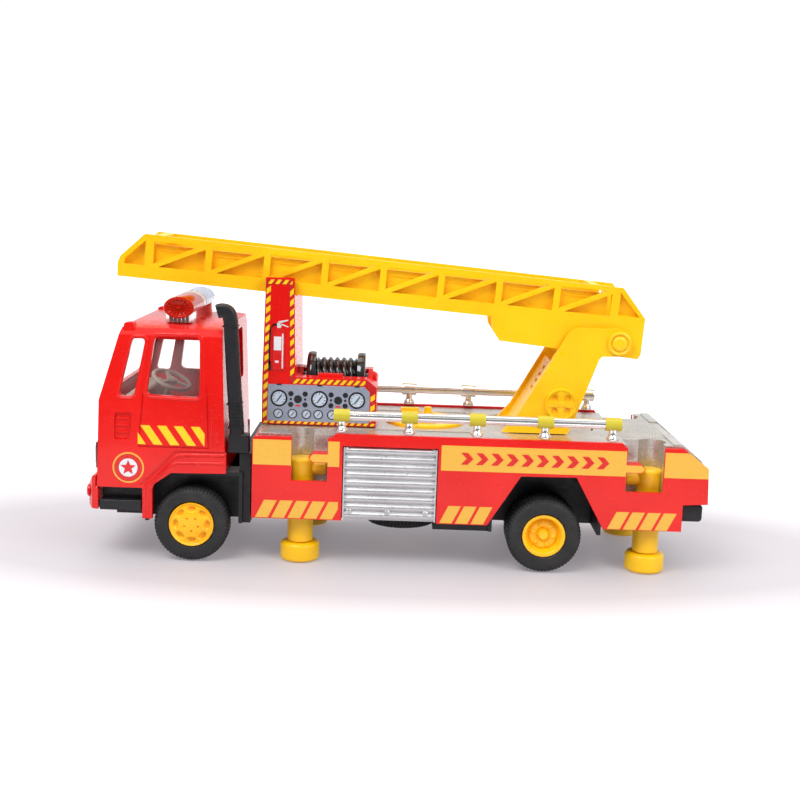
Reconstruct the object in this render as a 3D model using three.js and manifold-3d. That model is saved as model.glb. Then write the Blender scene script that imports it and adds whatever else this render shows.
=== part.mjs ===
// A toy ladder fire engine, in millimetres. +Z is up, the front faces -X, and the origin is on the
// ground under the middle of the engine. It stands on four wheels and four outrigger feet.
import * as THREE from "three";
import { mergeVertices } from "three/addons/utils/BufferGeometryUtils.js";
import Module from "manifold-3d";

const wasm = await Module();
wasm.setup();

// ---- driving dimensions ----
const noseX = -97.25; // the bumper and the tail reach equally far
const tailX = 97.25;
const halfWidth = 30;
const skin = 1.5; // wall of the moulded body
const gap = 0.3; // between pieces that touch
const wheelRadius = 11.8;
const tyreFace = 29.5; // outer face of every tyre, from the middle
const frontAxleX = -64.5;
const rearAxleX = 46.7;
const axleRadius = 1.5;
const panBottom = 12.5;
const panTop = 14.7;
const bedFront = -45.5;
const bedBottom = 15;
const deckTop = 42;
const handWheelX = 8.4;
const swivelX = 44.3;
const pivotX = 69.4;
const pivotZ = 71.8;
const restPitch = THREE.MathUtils.degToRad(4.3); // the lowered ladder climbs this much to its tip
const screwX = { front: -85, middle: -22, rear: 72 }; // the screws that hold the pan
const spareX = 1.5;
const outriggerY = 21.7;
const frontOutriggerX = -30.7;
const rearOutriggerX = 80.2;
const bay = 18.6; // ladder truss pitch
const bays = 8;
const reelZ = 56;

// ---- materials ----
const paint = (color, roughness, metalness = 0) =>
  new THREE.MeshStandardMaterial({ color, roughness, metalness });
const red = paint(0xe8201c, 0.25);
const darkRed = paint(0x8c1016, 0.4);
const yellow = paint(0xffc814, 0.35);
const silver = paint(0xc9c5bf, 0.3, 0.8);
const chrome = paint(0xe0e0e0, 0.12, 1);
const steel = paint(0x9a9a9a, 0.35, 1);
const black = paint(0x26282a, 0.5);
const glossBlack = paint(0x141414, 0.2);
const rubber = paint(0x202122, 0.8);
const beige = paint(0xb9b2a6, 0.6);
const clear = paint(0xf2f6f8, 0.05);
clear.transparent = true;
clear.opacity = 0.3;
const redLens = paint(0xb00d10, 0.1);
const blueLens = paint(0xb8d4ec, 0.1);

// ---- solids ----
function solid(geometry) {
  const flat = geometry.index ? geometry.toNonIndexed() : geometry;
  const bare = new THREE.BufferGeometry().setAttribute("position", flat.getAttribute("position"));
  const merged = mergeVertices(bare, 1e-4);
  const vertProperties = merged.attributes.position.array;
  const make = (triVerts) => new wasm.Manifold(new wasm.Mesh({ numProp: 3, vertProperties, triVerts }));
  const corners = new Uint32Array(merged.index.array);
  const made = make(corners);
  return made.volume() < 0 ? make(corners.reverse()) : made; // a mirrored outline comes inside out
}

function shown(made) {
  const mesh = made.getMesh();
  const geometry = new THREE.BufferGeometry();
  geometry.setAttribute("position", new THREE.BufferAttribute(mesh.vertProperties, 3));
  geometry.setIndex(new THREE.BufferAttribute(mesh.triVerts, 1));
  const flat = geometry.toNonIndexed();
  flat.computeVertexNormals();
  return flat;
}

const join = (...parts) => shown(parts.map(solid).reduce((a, b) => a.add(b)));
const cut = (base, ...tools) => shown(tools.map(solid).reduce((a, b) => a.subtract(b), solid(base)));
const common = (a, b) => shown(solid(a).intersect(solid(b)));
const mirrored = (geometry) => shown(solid(geometry.clone().scale(1, -1, 1)));

function box(x0, x1, y0, y1, z0, z1) {
  const geometry = new THREE.BoxGeometry(x1 - x0, y1 - y0, z1 - z0);
  return geometry.translate((x0 + x1) / 2, (y0 + y1) / 2, (z0 + z1) / 2);
}

// A closed outline whose corners are rounded to the radius.
function outline(points, radius = 0) {
  const shape = new THREE.Shape();
  const at = (i) => new THREE.Vector2(...points[(i + points.length) % points.length]);
  points.forEach((_, i) => {
    const here = at(i);
    const toward = (other) => other.sub(here).setLength(Math.min(radius, other.length() / 2.2)).add(here);
    const start = radius ? toward(at(i - 1)) : here;
    if (i === 0) shape.moveTo(start.x, start.y);
    else shape.lineTo(start.x, start.y);
    if (!radius) return;
    const end = toward(at(i + 1));
    shape.quadraticCurveTo(here.x, here.y, end.x, end.y);
  });
  return shape;
}

const extruded = (shape, depth) =>
  new THREE.ExtrudeGeometry(shape, { depth, bevelEnabled: false, curveSegments: 3 });
// An outline in X and Z, from y0 to y1.
const plateY = (shape, y0, y1) => extruded(shape, y1 - y0).rotateX(Math.PI / 2).translate(0, y1, 0);
// An outline in Y and Z, from x0 to x1.
const plateX = (shape, x0, x1) =>
  extruded(shape, x1 - x0)
    .applyMatrix4(
      new THREE.Matrix4().makeBasis(
        new THREE.Vector3(0, 1, 0),
        new THREE.Vector3(0, 0, 1),
        new THREE.Vector3(1, 0, 0),
      ),
    )
    .translate(x0, 0, 0);
// An outline in X and Y, from z0 to z1.
const plateZ = (shape, z0, z1) => extruded(shape, z1 - z0).translate(0, 0, z0);

// A cylinder between two points.
function rod(radius, from, to, sides = 16) {
  const a = new THREE.Vector3(...from);
  const b = new THREE.Vector3(...to);
  const along = b.clone().sub(a);
  const geometry = new THREE.CylinderGeometry(radius, radius, along.length(), sides);
  geometry.applyQuaternion(
    new THREE.Quaternion().setFromUnitVectors(new THREE.Vector3(0, 1, 0), along.normalize()),
  );
  return geometry.translate(...a.add(b).multiplyScalar(0.5).toArray());
}

// A profile of [radius, height] points turned about Z.
function turned(profile, sides = 24) {
  const points = profile.map(([r, h]) => new THREE.Vector2(r, h));
  return new THREE.LatheGeometry(points, sides).rotateX(Math.PI / 2);
}

const engine = new THREE.Group();
function piece(name, geometry, material, parent = engine) {
  const mesh = new THREE.Mesh(geometry, material);
  mesh.name = name;
  parent.add(mesh);
  return mesh;
}
// The same piece on the left, as given, and mirrored on the right.
function pair(name, geometry, material) {
  piece(name + "_left", geometry, material);
  piece(name + "_right", mirrored(geometry), material);
}

// ---- wheels ----
// A tyre's section starts on its bore. A twin is two tyres moulded as one, with a groove between them.
function tyre(width, twin, hubRadius) {
  const bore = hubRadius + gap;
  const groove = [[5.4, 0], [6.3, 1], [6.7, 2.2], [7.3, 2.2], [7.7, 1], [8.6, 0]];
  const side = [[1.6, 0], ...(twin ? groove : []), [width - 1.6, 0]];
  const tread = side.map(([across, depth]) => [wheelRadius - depth, across]);
  const shoulder = wheelRadius - 1;
  const inner = [[shoulder, width - 0.3], [8.4, width], [bore, width - 0.9]];
  return turned([[bore, 0.9], [8.4, 0], [shoulder, 0.3], ...tread, ...inner, [bore, 0.9]], 22);
}

// Hub profiles start at the outer face on the axis and end in the blind hole for the axle.
const frontHubRadius = 7;
const rearHubRadius = 6.75;
const frontHubFace = [[0, 0.5], [2.2, 0.6], [4.8, 1.3], [6.3, 1.6]];
const rearHubFace = [[0, 1.4], [1.9, 1.4], [2.2, 2.6], [3.9, 3.0], [5.2, 1.6], [6.0, 0.9]];
function hub(face, radius, width, floor) {
  const rim = [[radius, 1.2], [radius, width], [radius - 1, width], [radius - 1.2, floor]];
  const boss = [[3.0, floor], [3.0, width], [1.8, width], [1.8, floor - 0.6], [0, floor - 0.6]];
  return turned([...face, ...rim, ...boss], 16);
}

function axleSet(name, axleX, width, twin) {
  const place = (geometry, side) => {
    const upright = geometry.rotateX(-Math.PI / 2).translate(0, -tyreFace, 0);
    return shown(solid(upright.scale(1, side, 1).translate(axleX, 0, wheelRadius)));
  };
  const floor = twin ? 4.6 : 3.2;
  const face = twin ? rearHubFace : frontHubFace;
  const radius = twin ? rearHubRadius : frontHubRadius;
  const reach = tyreFace - floor + gap;
  piece(name + "_axle", rod(axleRadius, [axleX, -reach, wheelRadius], [axleX, reach, wheelRadius]), steel);
  for (const [label, side] of [["left", 1], ["right", -1]]) {
    piece(`${name}_hub_${label}`, place(hub(face, radius, width - 0.6, floor), side), yellow);
    piece(`${name}_tyre_${label}`, place(tyre(width, twin, radius), side), rubber);
  }
}
const frontTyreWidth = 7.4;
axleSet("front", frontAxleX, frontTyreWidth, false);
axleSet("rear", rearAxleX, 14, true);

// ---- chassis pan ----
// A plate that closes the bed from below, a spine under it and the cab, and a box over each wheel.
const plateBottom = bedBottom + 0.3;
const plateTop = 16.6;
const plateFront = bedFront + skin + gap;
function chassisPan() {
  const well = (x0, x1, inner, top) => [
    box(x0, x1, -28.1, -inner, panBottom, top),
    box(x0 + 1.2, x1 - 1.2, -29, -inner - 1.2, 10, top - 1.2),
  ];
  const wells = [well(-79.2, -48.6, 19.4, 28.9), well(29, 64.6, 12.8, 33.8)];
  const axles = [frontAxleX, rearAxleX];
  const legs = [frontOutriggerX, rearOutriggerX].flatMap((x) => [[x, -outriggerY], [x, outriggerY]]);
  const plates = join(
    box(-90, -45, -20, 20, panBottom, panTop),
    box(-49.8, -43, -14.5, 14.5, panBottom, panTop),
    box(plateFront, 66, -14.5, 14.5, panBottom, plateTop),
    box(11.5, 30, -27.5, 27.5, panBottom, plateTop),
    box(plateFront, 87.6, -27.9, 27.9, plateBottom, plateTop),
    box(-49.8, -46.2, -27, 27, panBottom, 34.8),
    turned([[0, panBottom], [13.8, panBottom], [13.8, 17.4], [0, 17.4]], 20).translate(spareX, 0, 0),
    ...wells.flatMap(([outer]) => [outer, mirrored(outer)]),
    ...axles.flatMap((x) => [-10.5, 10.5].map((y) => box(x - 3.6, x + 3.6, y - 1.6, y + 1.6, 9, panTop))),
  );
  const holes = [
    ...wells.flatMap(([, inner]) => [inner, mirrored(inner)]),
    ...axles.map((x) => rod(axleRadius + 0.2, [x, -25, wheelRadius], [x, 25, wheelRadius])),
    ...axles.flatMap((x) =>
      [[-26, -12.1], [-8.9, 8.9], [12.1, 26]].map(([y0, y1]) => box(x - 2, x + 2, y0, y1, 12, 13.7)),
    ),
    ...legs.map(([x, y]) => rod(6.9, [x, y, 11], [x, y, 18], 16)),
    ...legs.map(([x, y]) => box(x - 6.9, x + 6.9, Math.min(y, y * 1.3), Math.max(y, y * 1.3), 11, 18)),
    rod(12.1, [spareX, 0, 10], [spareX, 0, 16], 20),
    box(37.4, 60.6, -8.9, 8.9, 10, 18),
    ...[...Object.values(screwX), spareX].map((x) => rod(1.5, [x, 0, 10], [x, 0, 20], 12)),
  ];
  return cut(plates, ...holes);
}
piece("chassis_pan", chassisPan(), black);

// A round-headed screw, driven up from below.
function screw(x, head, tip, radius = 2.4) {
  const under = head + 1.1;
  const shank = 1.1;
  const cap = [[0, head], [radius * 0.8, head], [radius, head + 0.5], [radius, under]];
  return turned([...cap, [shank, under], [shank, tip], [0, tip]], 10).translate(x, 0, 0);
}
const panHead = panBottom - 1.4;
piece("pan_screw_front", screw(screwX.front, panHead, 24), steel);
piece("pan_screw_middle", screw(screwX.middle, panHead, 24), steel);
piece("pan_screw_rear", screw(screwX.rear, plateBottom - 1.4, 24), steel);

// ---- spare wheel, lying under the pan ----
const spareBottom = 7.6;
piece(
  "spare_tyre",
  tyre(frontTyreWidth, false, frontHubRadius).translate(spareX, 0, spareBottom),
  rubber,
);
function spareHub() {
  const radius = frontHubRadius;
  const face = [[1.5, 8.8], [4.8, 8.9], [6.3, 9.2], [radius, 8.8]];
  const rim = [[radius, 14.4], [radius - 1, 14.4], [radius - 1.2, 10.8]];
  const back = [...rim, [3, 10.8], [3, 14.9], [1.5, 14.9], [1.5, 8.8]];
  return turned([...face, ...back], 16).translate(spareX, 0, 0);
}
piece("spare_hub", spareHub(), yellow);
piece("spare_screw", screw(spareX, 7.2, 19), steel);

// ---- pull-back motor case round the rear axle ----
piece(
  "motor_case",
  cut(
    plateY(outline([[38, 9.5], [38, 24], [56, 24], [60, 20], [60, 9.5], [52, 8], [41, 8]], 1.5), -8.5, 8.5),
    rod(axleRadius + 0.3, [rearAxleX, -10, wheelRadius], [rearAxleX, 10, wheelRadius]),
  ),
  black,
);

// ---- cab ----
// Side profile and cross-section of the cab, pulled in by a wall thickness.
function cabForm(inset, floor) {
  const side = outline([
    [-93.9 + inset, floor],
    [-93.1 + inset, 50.9],
    [-86.4 + inset * 1.1, 73.4 - inset],
    [-85.0 + inset * 0.4, 74.4 - inset],
    [-70, 74.9 - inset],
    [-56.8 - inset * 0.4, 74.6 - inset],
    [-55.2 - inset, 73.2 - inset],
    [-53.6 - inset, floor],
  ]);
  // Half of the cross-section, as [how far in from the side, height].
  const flank = [
    [0, floor - 1],
    [0, 50.8],
    [1.2, 71.4 - inset],
    [3.2, 73.4 - inset],
    [12, 74.6 - inset],
  ];
  const half = halfWidth - inset;
  const left = flank.map(([inward, z]) => [inward - half, z]);
  const right = flank.map(([inward, z]) => [half - inward, z]).reverse();
  const across = outline([...left, [0, 75 - inset], ...right]);
  return common(plateY(side, -halfWidth, halfWidth), plateX(across, -100, -50));
}
const doorWindow = [[-76, 70.9], [-62.1, 71.1], [-62, 52.5], [-78.4, 53]];
const quarterWindow = [[-82.8, 70.4], [-78.8, 70.3], [-82.3, 52.3], [-87.0, 52.4]];

const wheelArch = [[-79.5, 20], [-79.5, 24.3], [-69, 34.6], [-50, 34.8], [-50, 20]];
const doorGrooves = [
  [[-78, 71.6], [-77.5, 71.6], [-80.5, 37], [-81, 37]],
  [[-60.4, 72.6], [-59.9, 72.6], [-58.8, 36.6], [-59.3, 36.6]],
  [[-81, 37], [-81, 36.5], [-59.2, 36.5], [-59.2, 37]],
];
// The groove that sets the arch over the wheel off from the door.
const archGroove = [
  [-80.4, 24.6], [-69.4, 35.6], [-53.6, 35.8], [-53.6, 35.3], [-69.1, 35.1], [-79.7, 24.6],
];
const vent = [[-88.4, 38.6], [-88.2, 47.2], [-82.8, 47.2], [-83.6, 38.6]];
const fender = [
  [-79.7, 13.6], [-79.7, 24.2], [-69.1, 34.9], [-53.6, 35.1],
  [-53.6, 28.8], [-70.7, 28.5], [-76.6, 24.3], [-76.6, 13.6],
];

function cabShell() {
  // What is taken out of the left flank, down to a given depth.
  const outside = -halfWidth - 1;
  const flankCuts = [
    plateY(outline(doorWindow, 1.8), outside, -27),
    plateY(outline(quarterWindow, 1.4), outside, -27),
    plateY(outline(wheelArch), outside, -27),
    plateY(outline(vent, 1), outside, 0.8 - halfWidth),
    ...[...doorGrooves, archGroove].map((points) => plateY(outline(points), outside, 0.4 - halfWidth)),
  ];
  const body = cut(
    cabForm(0, 23.4),
    cabForm(1.6, 20),
    box(-60, -50, -28.4, 28.4, 20, 29.3), // the rear wall stops above the wheel boxes
    ...flankCuts,
    ...flankCuts.map(mirrored),
    plateX(outline([[-25.5, 53], [-24.2, 71.6], [24.2, 71.6], [25.5, 53]], 2), -96, -84), // windscreen
    plateX(outline([[-17, 53], [-17, 70], [17, 70], [17, 53]], 2), -56.2, -50), // rear window
    box(-95, -93.3, -27.6, 27.6, 28.4, 37.2), // recess for the grille
  );
  const arch = plateY(outline(fender), -halfWidth, 1.6 - halfWidth);
  const markerForm = outline([[-86, 72], [-85.6, 74.9], [-82.8, 75.2], [-82, 72]], 0.6);
  const marker = plateY(markerForm, -27.8, -24.2);
  return join(body, arch, mirrored(arch), marker, mirrored(marker));
}
piece("cab_shell", cabShell(), red);

// One clear moulding behind the windscreen and the side windows.
piece(
  "cab_glazing",
  common(cut(cabForm(1.9, 40), cabForm(2.8, 39)), box(-93, -58, -29, 29, 51.6, 72)),
  clear,
);

piece(
  "cab_interior",
  join(
    box(-91.5, -56, -25, 25, 29.4, 31),
    plateY(outline([[-91.4, 30], [-91.2, 47], [-88, 50.4], [-84, 49.6], [-83, 44], [-85, 30]], 1), -25, 25),
    cut(rod(3.4, [-85, 0, 15], [-85, 0, 30], 14), rod(1.4, [-85, 0, 14], [-85, 0, 27], 12)),
  ),
  beige,
);

// The steering wheel is high at its front and leans a little to the left; its column stops at the dashboard.
function steeringWheel() {
  const [rake, lean] = [THREE.MathUtils.degToRad(22), THREE.MathUtils.degToRad(12)];
  const wheel = new THREE.TorusGeometry(6.4, 0.8, 6, 18);
  const spokes = [0, 1, 2].map((i) => box(0, 6.4, -0.8, 0.8, -0.5, 0.5).rotateZ((i * 2 * Math.PI) / 3));
  const boss = turned([[0, -1.2], [1.8, -1.2], [1.8, 0.9], [0, 0.9]], 12);
  const column = rod(0.9, [0, 0, -10], [0, 0, 0], 10);
  return join(wheel, boss, column, ...spokes)
    .rotateY(rake)
    .rotateX(lean)
    .translate(-78.7, 13, 51);
}
piece("steering_wheel", steeringWheel(), beige);

function seats() {
  const form = [
    [-75, 31.3], [-75.5, 38], [-74, 40.5], [-63, 39.6], [-61.8, 42], [-61, 60], [-58.4, 61], [-57.6, 31.3],
  ];
  const headrest = [[-61.2, 59], [-61, 64.5], [-58.6, 65], [-58.4, 59]];
  const one = join(plateY(outline(form, 1.2), -22.5, -3.5), plateY(outline(headrest, 1), -18, -8));
  return join(one, mirrored(one), box(-70, -60, -6, 6, 31.3, 36));
}
piece("cab_seats", seats(), darkRed);

function grille() {
  const frame = box(-94.2, -93.6, -27.2, 27.2, 28.7, 36.9);
  const bars = [30, 32.2, 34.4].map((z) => box(-94.9, -94, -15.5, 15.5, z, z + 1.2));
  const surrounds = [-1, 1].map((side) => box(-94.8, -94, side * 22 - 5.2, side * 22 + 5.2, 28.7, 36.9));
  const pockets = [-1, 1].map((side) => box(-96, -94.2, side * 22 - 4.3, side * 22 + 4.3, 29.6, 36));
  return cut(join(frame, ...bars, ...surrounds), ...pockets);
}
piece("front_grille", grille(), black);
const headlight = plateX(outline([[-26, 29.9], [-26, 35.7], [-18, 35.7], [-18, 29.9]], 1), -93.9, -93.2);
pair("headlight", headlight.translate(-1.7, 0, 0), clear);

function frontBumper() {
  const side = [
    [noseX, 16.6], [noseX, 23.6], [-95.6, 26.6], [-94.3, 26.8],
    [-94.3, 23.1], [-93.6, 23.1], [-93.6, 16], [-96.6, 16],
  ];
  const above = [
    [-93, -halfWidth], [-93, halfWidth], [-95.6, 29.2], [noseX, 26], [noseX, -26], [-95.6, -29.2],
  ];
  return common(plateY(outline(side), -halfWidth, halfWidth), plateZ(outline(above), 10, 30));
}
piece("front_bumper", frontBumper(), red);

const step = join(
  box(-93.2, -80, -29.7, -24, 15.9, 19.2),
  box(-93.2, -80, -25.6, -24, 19, 23),
  box(-91.4, -80, -25.6, -24, 22, 27),
);
pair("cab_step", step, black);

// ---- exhaust stack behind the cab, on the left only ----
function exhaust() {
  const bends = [[-50, 40], [-50.3, 45], [-51.1, 55], [-52.3, 74], [-52.9, 77.2], [-55.6, 79.6]];
  const centre = new THREE.CatmullRomCurve3(bends.map(([x, z]) => new THREE.Vector3(x, -26.6, z)));
  const round = new THREE.Shape().absarc(0, 0, 2.1, 0, 2 * Math.PI);
  const pipe = new THREE.ExtrudeGeometry(round, { steps: 9, extrudePath: centre, curveSegments: 5 });
  return join(pipe, box(-53, -46.8, -28.7, -24.4, 35.1, 41.4));
}
piece("exhaust_stack", exhaust(), black);

// ---- warning light bar ----
const lensForm = (y0, y1, grow = 0) =>
  new THREE.CylinderGeometry(1, 1, y1 - y0, 18)
    .scale(3.4 + grow, 1, 3.4 + grow)
    .scale((4.75 + grow) / (3.4 + grow), 1, 1)
    .translate(-70, (y0 + y1) / 2, 79.4);
piece(
  "lightbar_base",
  cut(box(-75.6, -64.6, -20.5, 20.5, 73, 78), cabForm(-gap, 23.4), lensForm(-23, 23, gap)),
  chrome,
);
piece("lightbar_lens_red", lensForm(-22, -3.2), redLens);
piece("lightbar_lens_clear", lensForm(-2.9, 2.9), clear);
piece("lightbar_lens_blue", lensForm(3.2, 22), blueLens);

// ---- bed ----
const frontWindow = [-33.2, -22]; // the openings in the side for the outriggers
const rearWindow = [71.2, 82.9];
function bedShell() {
  const side = outline([
    [bedFront, bedBottom], [bedFront, 40.2], [bedFront + 1, 41.2],
    [-20.8, 41.2], [-19.6, 42.7], [69.6, 42.7], [70.6, 41.4],
    [88.9, 41.4], [96.8, 35.4], [tailX, 24], [89.5, 23.6], [89.5, bedBottom],
  ]);
  const rearArch = [[28.5, 10], [28.5, 15], [38.5, 31.1], [55.8, 31.3], [64.9, 15], [64.9, 10]];
  const open = (x0, x1, z0) => box(x0, x1, -31, 31, z0, 50);
  const skins = cut(
    plateY(side, -halfWidth, halfWidth),
    box(bedFront + skin, 95.7, -halfWidth + skin, halfWidth - skin, 10, 50),
    plateY(outline(rearArch), -31, 31),
    box(-17.3, 12.5, -31, 31, 10, 38.9), // the shutters fill this
    open(...frontWindow, 27.3),
    open(...rearWindow, 27.2),
    box(bedFront - 1, bedFront + 3, -12, 12, 38, 50), // room for the back of the pump tower
  );
  // The grips turn in under these lips. Each starts in the skin, and stands clear of the tray's pocket.
  const lip = (form, x0, x1) =>
    cut(plateY(outline(form), -halfWidth, -25), box(x0, x1, skin - halfWidth, -20, 30, 40));
  const lips = [
    lip([[-21, 33.3], [-21, 36.2], [-26.6, 36.2], [-28, 34.8], [-26.8, 33.3]], -22.1, -20),
    lip([[70.4, 33.3], [70.4, 36], [75.8, 36], [77.4, 34.6], [76, 33.3]], 70, 71.3),
  ];
  return join(skins, ...lips, ...lips.map(mirrored));
}
piece("bed_shell", bedShell(), red);

function deckTray() {
  const y = halfWidth - skin - gap;
  const profile = [
    [plateFront, 40.5], [plateFront, deckTop], [88.6, deckTop], [95.3, 36.7], [95.3, 35], [88.2, 40.5],
  ];
  const sheet = plateY(outline(profile), -y, y);
  // A pocket behind each opening in the side holds a leg, with room beside it for the grip.
  const pocket = (x, [x0, x1], facing) => {
    const [a, b] = [x, x + facing * 9].sort((p, q) => p - q);
    return {
      walls: box(Math.min(x0 - 1.6, x - 6), Math.max(x1 + 1.6, x + 6), -y, -15.6, 21, deckTop),
      hollow: join(
        box(x0 - 0.2, x1 + 0.2, -32, -19.2, 24.4, 50),
        box(a, b, -24.6, -19.2, 24.4, 50),
        rod(4.5, [x, -outriggerY, 18], [x, -outriggerY, 50], 16),
      ),
    };
  };
  const pockets = [pocket(frontOutriggerX, frontWindow, 1), pocket(rearOutriggerX, rearWindow, -1)];
  const bosses = [
    turned([[0, 37.5], [22.6, 37.5], [22.6, 41], [0, 41]], 24).translate(swivelX, 0, 0),
    ...[screwX.middle, screwX.rear].map((x) => rod(3.2, [x, 0, plateTop + gap], [x, 0, 41], 14)),
    rod(4, [handWheelX, 0, 36], [handWheelX, 0, 41], 14),
  ];
  const holes = [
    turned([[0, 39.8], [20.4, 39.8], [20.4, 45], [0, 45]], 24).translate(swivelX, 0, 0),
    turned([[0, 41.2], [13.6, 41.2], [13.6, 45], [0, 45]], 24).translate(handWheelX, 0, 0),
    rod(6.4, [swivelX, 0, 30], [swivelX, 0, 45], 16),
    ...[screwX.middle, screwX.rear].map((x) => rod(1.4, [x, 0, 14], [x, 0, 30], 12)),
    rod(2.3, [handWheelX, 0, 35], [handWheelX, 0, 45], 14),
  ];
  const both = (part) => pockets.flatMap((pocketPart) => [pocketPart[part], mirrored(pocketPart[part])]);
  return cut(join(sheet, ...bosses, ...both("walls")), ...holes, ...both("hollow"));
}
piece("deck_tray", deckTray(), silver);

// A corrugated roller shutter in each side.
function shutter() {
  const ribs = 9;
  const [bottom, top] = [15.3, 38.5];
  const pitch = (top - bottom) / ribs;
  const face = [];
  for (let i = 0; i < ribs; i += 1) {
    const z = bottom + i * pitch;
    face.push([-29, z], [-29.7, z + 0.35 * pitch], [-29.7, z + 0.7 * pitch]);
  }
  return plateX(outline([...face, [-29, top], [-28.2, top], [-28.2, bottom]]), -17, 12.2);
}
pair("side_shutter", shutter(), silver);

const rearBumper = [[89.8, 17.7], [89.8, 23.2], [96, 23.2], [96.4, 22.4], [96.4, 18.3], [95.6, 17.7]];
piece("rear_bumper", plateY(outline(rearBumper), -27.5, 27.5), black);

function rail() {
  const [y, z] = [-28, 48.2];
  const posts = [0, 1, 2, 3, 4].map((i) => {
    const x = -17.9 + 21.1 * i;
    const post = turned([[0, 43.1], [1.9, 43.1], [1.95, 44], [1.25, 44.6], [1.25, 48], [0, 48]], 8);
    return join(post.translate(x, y, 0), rod(2.05, [x - 2.65, y, z], [x + 2.65, y, z], 10));
  });
  return join(rod(1.5, [-20, y, z], [69.1, y, z], 10), ...posts);
}
pair("side_rail", rail(), chrome);

// ---- pump tower with the hose reel ----
function pumpTower() {
  const base = deckTop + gap;
  const form = [
    [-44.4, base], [-44.4, 57.6], [-43.6, 89.3], [-34.6, 89.3],
    [-33.8, 57.7], [-11, 57.7], [-7.6, 55.1], [-7.6, base],
  ];
  const inside = [
    [-42.8, base - 1], [-42.8, 57], [-42.2, 81.5], [-36, 81.5],
    [-35.4, 56.1], [-11.6, 56.1], [-9.2, 54.4], [-9.2, base - 1],
  ];
  const bearingForm = [[-4.5, base], [-4.5, 57], [-2.8, 59.4], [2.8, 59.4], [4.5, 57], [4.5, base]];
  const bearing = (x0, x1) => plateX(outline(bearingForm), x0, x1);
  const half = 15;
  return cut(
    join(
      cut(
        plateY(outline(form), -half, half),
        plateY(outline(inside), 1.6 - half, half - 1.6),
        box(-32.2, -10.8, -9.4, 9.4, 50, 60),
      ),
      bearing(-33.6, -32),
      bearing(-10.8, -9.2),
    ),
    box(-50, -30, -12.2, 12.2, 83.2, 95), // the ladder lies in this cradle
    rod(1.8, [-36, 0, reelZ], [-9.6, 0, reelZ], 14),
  );
}
piece("pump_tower", pumpTower(), red);

function hoseReel() {
  const turns = 6;
  const [left, right] = [-27.8, -14.6];
  const pitch = (right - left) / turns;
  const profile = [[0, -34.6], [1.5, -34.6], [1.5, -30.8], [8.4, -30.8], [8.4, left], [5.4, left]];
  for (let i = 0; i < turns; i += 1) {
    const x = left + (i + 0.5) * pitch;
    profile.push([6.6, x - 0.3 * pitch], [6.6, x + 0.3 * pitch], [5.4, x + 0.5 * pitch]);
  }
  profile.push([8.4, right], [8.4, -11.6], [1.5, -11.6], [1.5, -9.9], [0, -9.9]);
  return shown(solid(turned(profile, 12).rotateY(Math.PI / 2).translate(0, 0, reelZ)));
}
piece("hose_reel", hoseReel(), glossBlack);

// ---- hand wheel on the deck ----
function deckWheel() {
  const [bottom, top] = [41.5, 43];
  const spokes = [0, 1, 2].map((i) => box(-11.5, 11.5, -1.3, 1.3, bottom, top).rotateZ((i * Math.PI) / 3));
  return join(
    turned([[10.4, bottom], [12.9, bottom], [12.9, top - 0.3], [12.6, top], [10.4, top], [10.4, bottom]], 20),
    turned([[0, 38], [2, 38], [2, bottom], [4, bottom], [4, top + 0.6], [0, top + 0.6]], 12),
    ...spokes,
    plateZ(outline([[-8, 8.2], [-1.8, 8.2], [-1.8, 10.8], [-8, 10.8]], 0.8), bottom + 0.3, 44.8),
    plateZ(outline([[-7, 5], [-3, 5], [-3, 9], [-7, 9]]), bottom + 0.3, top),
    rod(1.3, [1.2, 9.4, bottom + 0.3], [1.2, 9.4, 45.2], 12),
    box(0, 2.4, 3, 10.6, bottom + 0.3, top),
  ).translate(handWheelX, 0, 0);
}
piece("deck_wheel", deckWheel(), yellow);

// ---- turntable and mast ----
function turntable() {
  const disc = turned([[0, 36.4], [6, 36.4], [6, 40.1], [20, 40.1], [20, 41.5], [0, 41.5]], 24);
  return cut(disc, rod(1.8, [0, 0, 36], [0, 0, 41], 14)).translate(swivelX, 0, 0);
}
piece("turntable", turntable(), silver);
piece("swivel_screw", screw(swivelX, 34.9, 40.4, 8), steel);

function mastFrame() {
  const inner = 12;
  const outer = 13.5;
  const form = [
    [33.2, 41.8], [37.8, 47.2], [53.5, 75.4], [55.9, 76.4], [69.6, 76.5], [72.6, 75], [73.9, 71.8],
    [72.8, 68.8], [70.1, 67.6], [64.1, 67.4], [63.3, 66.3], [56.7, 47.3], [54.4, 41.8],
  ];
  // A knob is moulded on each cheek, with four dimples in its face.
  const [knobX, knobZ] = [51.8, 51.6];
  const dimples = [1, 3, 5, 7].map((eighth) => {
    const turn = (eighth * Math.PI) / 4;
    const [x, z] = [knobX + 2.9 * Math.cos(turn), knobZ + 2.9 * Math.sin(turn)];
    return rod(1.2, [x, -15, z], [x, -outer, z], 6);
  });
  const cheek = join(
    plateY(outline(form), -outer, -inner),
    rod(3.9, [pivotX, -14.2, pivotZ], [pivotX, -inner, pivotZ], 16),
    cut(rod(4.9, [knobX, -14.3, knobZ], [knobX, -inner, knobZ], 16), ...dimples),
  );
  const joined = inner + 0.5; // the web and the floor run into the cheeks
  const webForm = [[36, 42.2], [39.3, 47.2], [48.8, 64.4], [50.4, 63.6], [40.9, 46.4], [38.5, 42.2]];
  const web = plateY(outline(webForm), -joined, joined);
  const slots = [0, 1, 2, 3].map((i) => {
    const [x, z] = [42 + i * 1.1, 54.4 + i * 2.2];
    return box(x, x + 8, -2, 2, z, z + 1.1);
  });
  return cut(
    join(cheek, mirrored(cheek), cut(web, ...slots), box(36, 54, -joined, joined, 41.8, 43.4)),
    rod(2, [pivotX, -16, pivotZ], [pivotX, 16, pivotZ], 16),
  );
}
piece("mast_frame", mastFrame(), yellow);
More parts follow.
